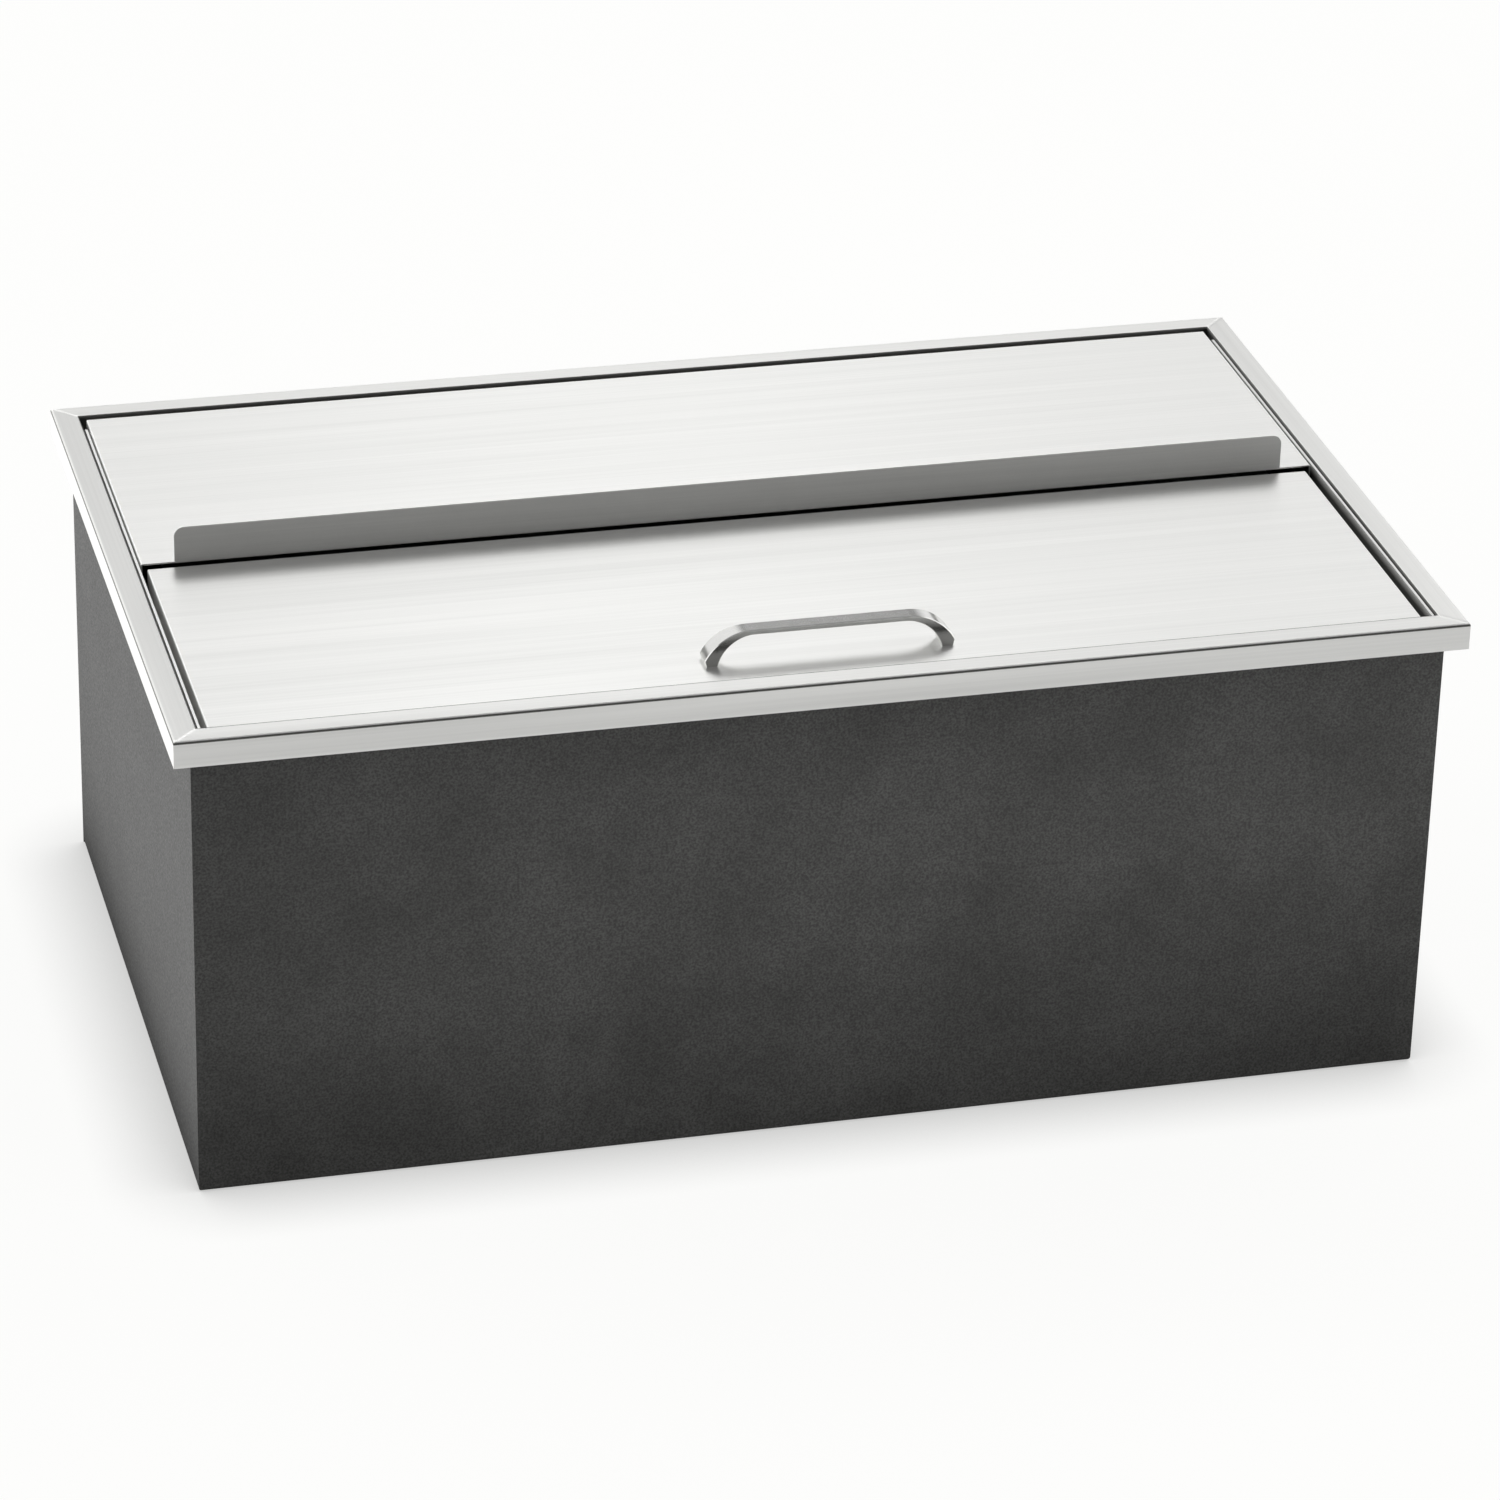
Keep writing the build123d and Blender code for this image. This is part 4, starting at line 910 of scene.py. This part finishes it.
def lit_paper(studio):
    """Matt white paper over a light table: white where it is seen, with a soft contact shadow."""
    material, tree, place = new_material("lit_white_paper")
    rays = add_node(tree, "LightPath").outputs
    seen = add_node(
        tree, "Math", {0: rays["Is Glossy Ray"], 1: rays["Is Transmission Ray"]},
        operation="MAXIMUM",
    )
    parts = add_node(tree, "SeparateXYZ", {"Vector": place}).outputs
    # Close to the bin, which shades it, the paper is mirrored darker
    levels = {"To Min": studio.floor_far, "To Max": studio.floor_near}
    ahead = add_node(tree, "MapRange", {"Value": parts["Y"], **FLOOR_FRONT_FADE, **levels})
    left = add_node(tree, "MapRange", {"Value": parts["X"], **FLOOR_LEFT_FADE, **levels})
    mirrored = add_node(tree, "Math", {0: ahead, 1: left}, operation="MAXIMUM")
    level = add_node(tree, "Mix", {0: seen, 2: studio.floor_fill, 3: mirrored})
    level = add_node(tree, "Mix", {0: rays["Is Camera Ray"], 2: level, 3: studio.floor_glow})
    open_sky = add_node(tree, "AmbientOcclusion", {"Distance": studio.contact_reach}).outputs["AO"]
    shadow = add_node(tree, "MapRange", {
        "Value": open_sky, "From Min": CONTACT_FULL, "To Min": 1 - studio.contact_shade,
        "To Max": 1.0,
    })
    level = add_node(tree, "Math", {0: level, 1: shadow}, operation="MULTIPLY")
    matt = add_node(tree, "BsdfDiffuse", {"Color": shaded(studio.floor, studio.floor_matt)})
    glow = add_node(tree, "Emission", {"Color": shaded(studio.floor, 1), "Strength": level})
    both = add_node(tree, "AddShader", {0: matt, 1: glow})
    add_node(tree, "OutputMaterial", {"Surface": both})
    return material


def studio_light(tree, studio):
    """Studio sky: a bright soft bank high behind the bin, a dark card under it, a dark front."""
    way = add_node(tree, "TexCoord").outputs["Generated"]
    parts = add_node(tree, "SeparateXYZ", {"Vector": way}).outputs
    off_card = add_node(tree, "Math", {0: parts["X"], 1: CARD_MIDDLE}, operation="SUBTRACT")
    off_card = add_node(tree, "Math", {0: off_card}, operation="ABSOLUTE")
    low = add_node(tree, "MapRange", {
        "Value": off_card, "To Min": studio.card_level, "To Max": studio.back_level, **CARD_SIDES,
    })
    up = add_node(tree, "MapRange", {"Value": parts["Z"], **BANK_FOOT})
    behind = add_node(tree, "Mix", {0: up, 2: low, 3: studio.bank_level})
    over = add_node(tree, "MapRange", {"Value": parts["Z"], **BANK_HEAD})
    behind = add_node(tree, "Mix", {0: over, 2: behind, 3: studio.top_level})
    # The bank's lamp stands a little right of straight behind, mirrored in the covers' middle
    off_lamp = add_node(tree, "Math", {0: parts["X"], 1: LAMP_MIDDLE}, operation="SUBTRACT")
    off_lamp = add_node(tree, "Math", {0: off_lamp}, operation="ABSOLUTE")
    hot = add_node(tree, "MapRange", {
        "Value": off_lamp, "To Min": 1 + studio.bank_middle, "To Max": 1.0, **LAMP_SIDES,
    }, interpolation_type="SMOOTHSTEP")
    behind = add_node(tree, "Math", {0: behind, 1: hot}, operation="MULTIPLY")
    front = add_node(tree, "MapRange", {
        "Value": parts["Z"], "To Min": studio.front_level, "To Max": studio.top_level, **FRONT_RISE,
    })
    sides = add_node(tree, "Math", {0: parts["X"]}, operation="ABSOLUTE")
    sides = add_node(tree, "MapRange", {"Value": sides, **SIDE_RISE})
    front = add_node(tree, "Mix", {0: sides, 2: front, 3: studio.side_level})
    back = add_node(tree, "MapRange", {"Value": parts["Y"], **BACK_RISE})
    level = add_node(tree, "Mix", {0: back, 2: front, 3: behind})
    rays = add_node(tree, "LightPath").outputs
    shown = add_node(tree, "Mix", {0: rays["Is Camera Ray"], 2: level, 3: 1.0})
    backdrop = add_node(tree, "Background", {"Color": (1.0, 1.0, 1.0, 1.0), "Strength": shown})
    add_node(tree, "OutputWorld", {"Surface": backdrop})


def soft_lamp(name, power, size, place, way):
    """A rectangular soft lamp that the camera doesn't see, shining along a way."""
    light = bpy.data.lights.new(name, "AREA")
    light.energy = power
    light.shape = "RECTANGLE"
    light.size, light.size_y = size
    lamp = bpy.data.objects.new(name, light)
    lamp.location = place
    lamp.rotation_euler = way.to_track_quat("-Z", "Y").to_euler()
    lamp.visible_camera = False
    bpy.context.scene.collection.objects.link(lamp)
    return lamp


# The camera's place in metres and its ways right, up and back, from the photograph's corners
CAMERA_PLACE = (-0.84485, -3.23132, 1.84015)
CAMERA_RIGHT = (0.969361, -0.244563, 0.022978)
CAMERA_TOP = (0.091230, 0.445292, 0.890725)
CAMERA_BACK = (-0.228071, -0.861338, 0.453961)


class ICEBIN_OT_set_stage(bpy.types.Operator):
    """Lays the floor, lights it and sets up the camera"""

    bl_idname = "ice_bin.set_stage"
    bl_label = "Set the stage"

    def execute(self, context):
        studio = context.scene.ice_bin_studio
        mesh = bpy.data.meshes.new("studio_floor")
        shape = bmesh.new()
        bmesh.ops.create_grid(
            shape, x_segments=1, y_segments=1, size=studio.floor_side / 2,
            matrix=Matrix.Translation((0, 0, -FLOOR_GAP)),
        )
        shape.to_mesh(mesh)
        shape.free()
        floor = bpy.data.objects.new("studio_floor", mesh)
        mesh.materials.append(lit_paper(studio))
        context.scene.collection.objects.link(floor)

        world = bpy.data.worlds.new("soft_studio")
        context.scene.world = world
        world.use_nodes = True
        world.node_tree.nodes.clear()
        studio_light(world.node_tree, studio)

        strip = soft_lamp(
            "front_lamp", studio.front_lamp, STRIP_SIZE, STRIP_PLACE, STRIP_AIM - STRIP_PLACE
        )
        strip.data.spread = STRIP_SPREAD
        strip.visible_glossy = False
        front = (0, FRONT_PANEL_EDGE - FRONT_PANEL_SIZE[1] / 2, PANEL_HEIGHT)
        left = (LEFT_PANEL_EDGE - LEFT_PANEL_SIZE[0] / 2, LEFT_PANEL_MIDDLE, PANEL_HEIGHT)
        for name, power, size, place in (
            ("front_panel", studio.front_panel, FRONT_PANEL_SIZE, front),
            ("left_panel", studio.left_panel, LEFT_PANEL_SIZE, left),
        ):
            soft_lamp(name, power, size, place, Vector((0, 0, 1)))

        eye = bpy.data.cameras.new("photo_camera")
        eye.sensor_width = 36
        eye.lens = studio.lens
        camera = bpy.data.objects.new("photo_camera", eye)
        turned = Matrix((CAMERA_RIGHT, CAMERA_TOP, CAMERA_BACK)).transposed()
        camera.matrix_world = Matrix.Translation(CAMERA_PLACE) @ turned.to_4x4()
        context.scene.collection.objects.link(camera)
        context.scene.camera = camera
        context.scene.view_settings.view_transform = "Standard"
        return {"FINISHED"}


OPERATORS = (
    ICEBIN_OT_finish_rim,
    ICEBIN_OT_finish_covers,
    ICEBIN_OT_finish_tub,
    ICEBIN_OT_finish_casing,
    ICEBIN_OT_finish_insulation,
    ICEBIN_OT_finish_base,
    ICEBIN_OT_make_screws,
    ICEBIN_OT_make_rivets,
    ICEBIN_OT_make_drain,
    ICEBIN_OT_finish_handle,
    ICEBIN_OT_set_stage,
)


class ICEBIN_PT_panel(bpy.types.Panel):
    """Lists the ice bin's pieces in the sidebar"""

    bl_label = "Ice Bin"
    bl_space_type = "VIEW_3D"
    bl_region_type = "UI"
    bl_category = "Ice Bin"

    def draw(self, context):
        for operator in OPERATORS:
            self.layout.operator(operator.bl_idname)


CLASSES = (IceBinFinishes, IceBinFasteners, IceBinStudio, *OPERATORS, ICEBIN_PT_panel)


def register():
    """Adds the classes and their settings to Blender."""
    for entry in CLASSES:
        bpy.utils.register_class(entry)
    bpy.types.Scene.ice_bin_finishes = bpy.props.PointerProperty(type=IceBinFinishes)
    bpy.types.Scene.ice_bin_fasteners = bpy.props.PointerProperty(type=IceBinFasteners)
    bpy.types.Scene.ice_bin_studio = bpy.props.PointerProperty(type=IceBinStudio)


def unregister():
    """Takes the classes and their settings out again."""
    del bpy.types.Scene.ice_bin_studio
    del bpy.types.Scene.ice_bin_fasteners
    del bpy.types.Scene.ice_bin_finishes
    for entry in reversed(CLASSES):
        bpy.utils.unregister_class(entry)


def main():
    """Builds every piece in order."""
    register()
    for operator in OPERATORS:
        group, name = operator.bl_idname.split(".")
        getattr(getattr(bpy.ops, group), name)()


if __name__ == "__main__":
    main()
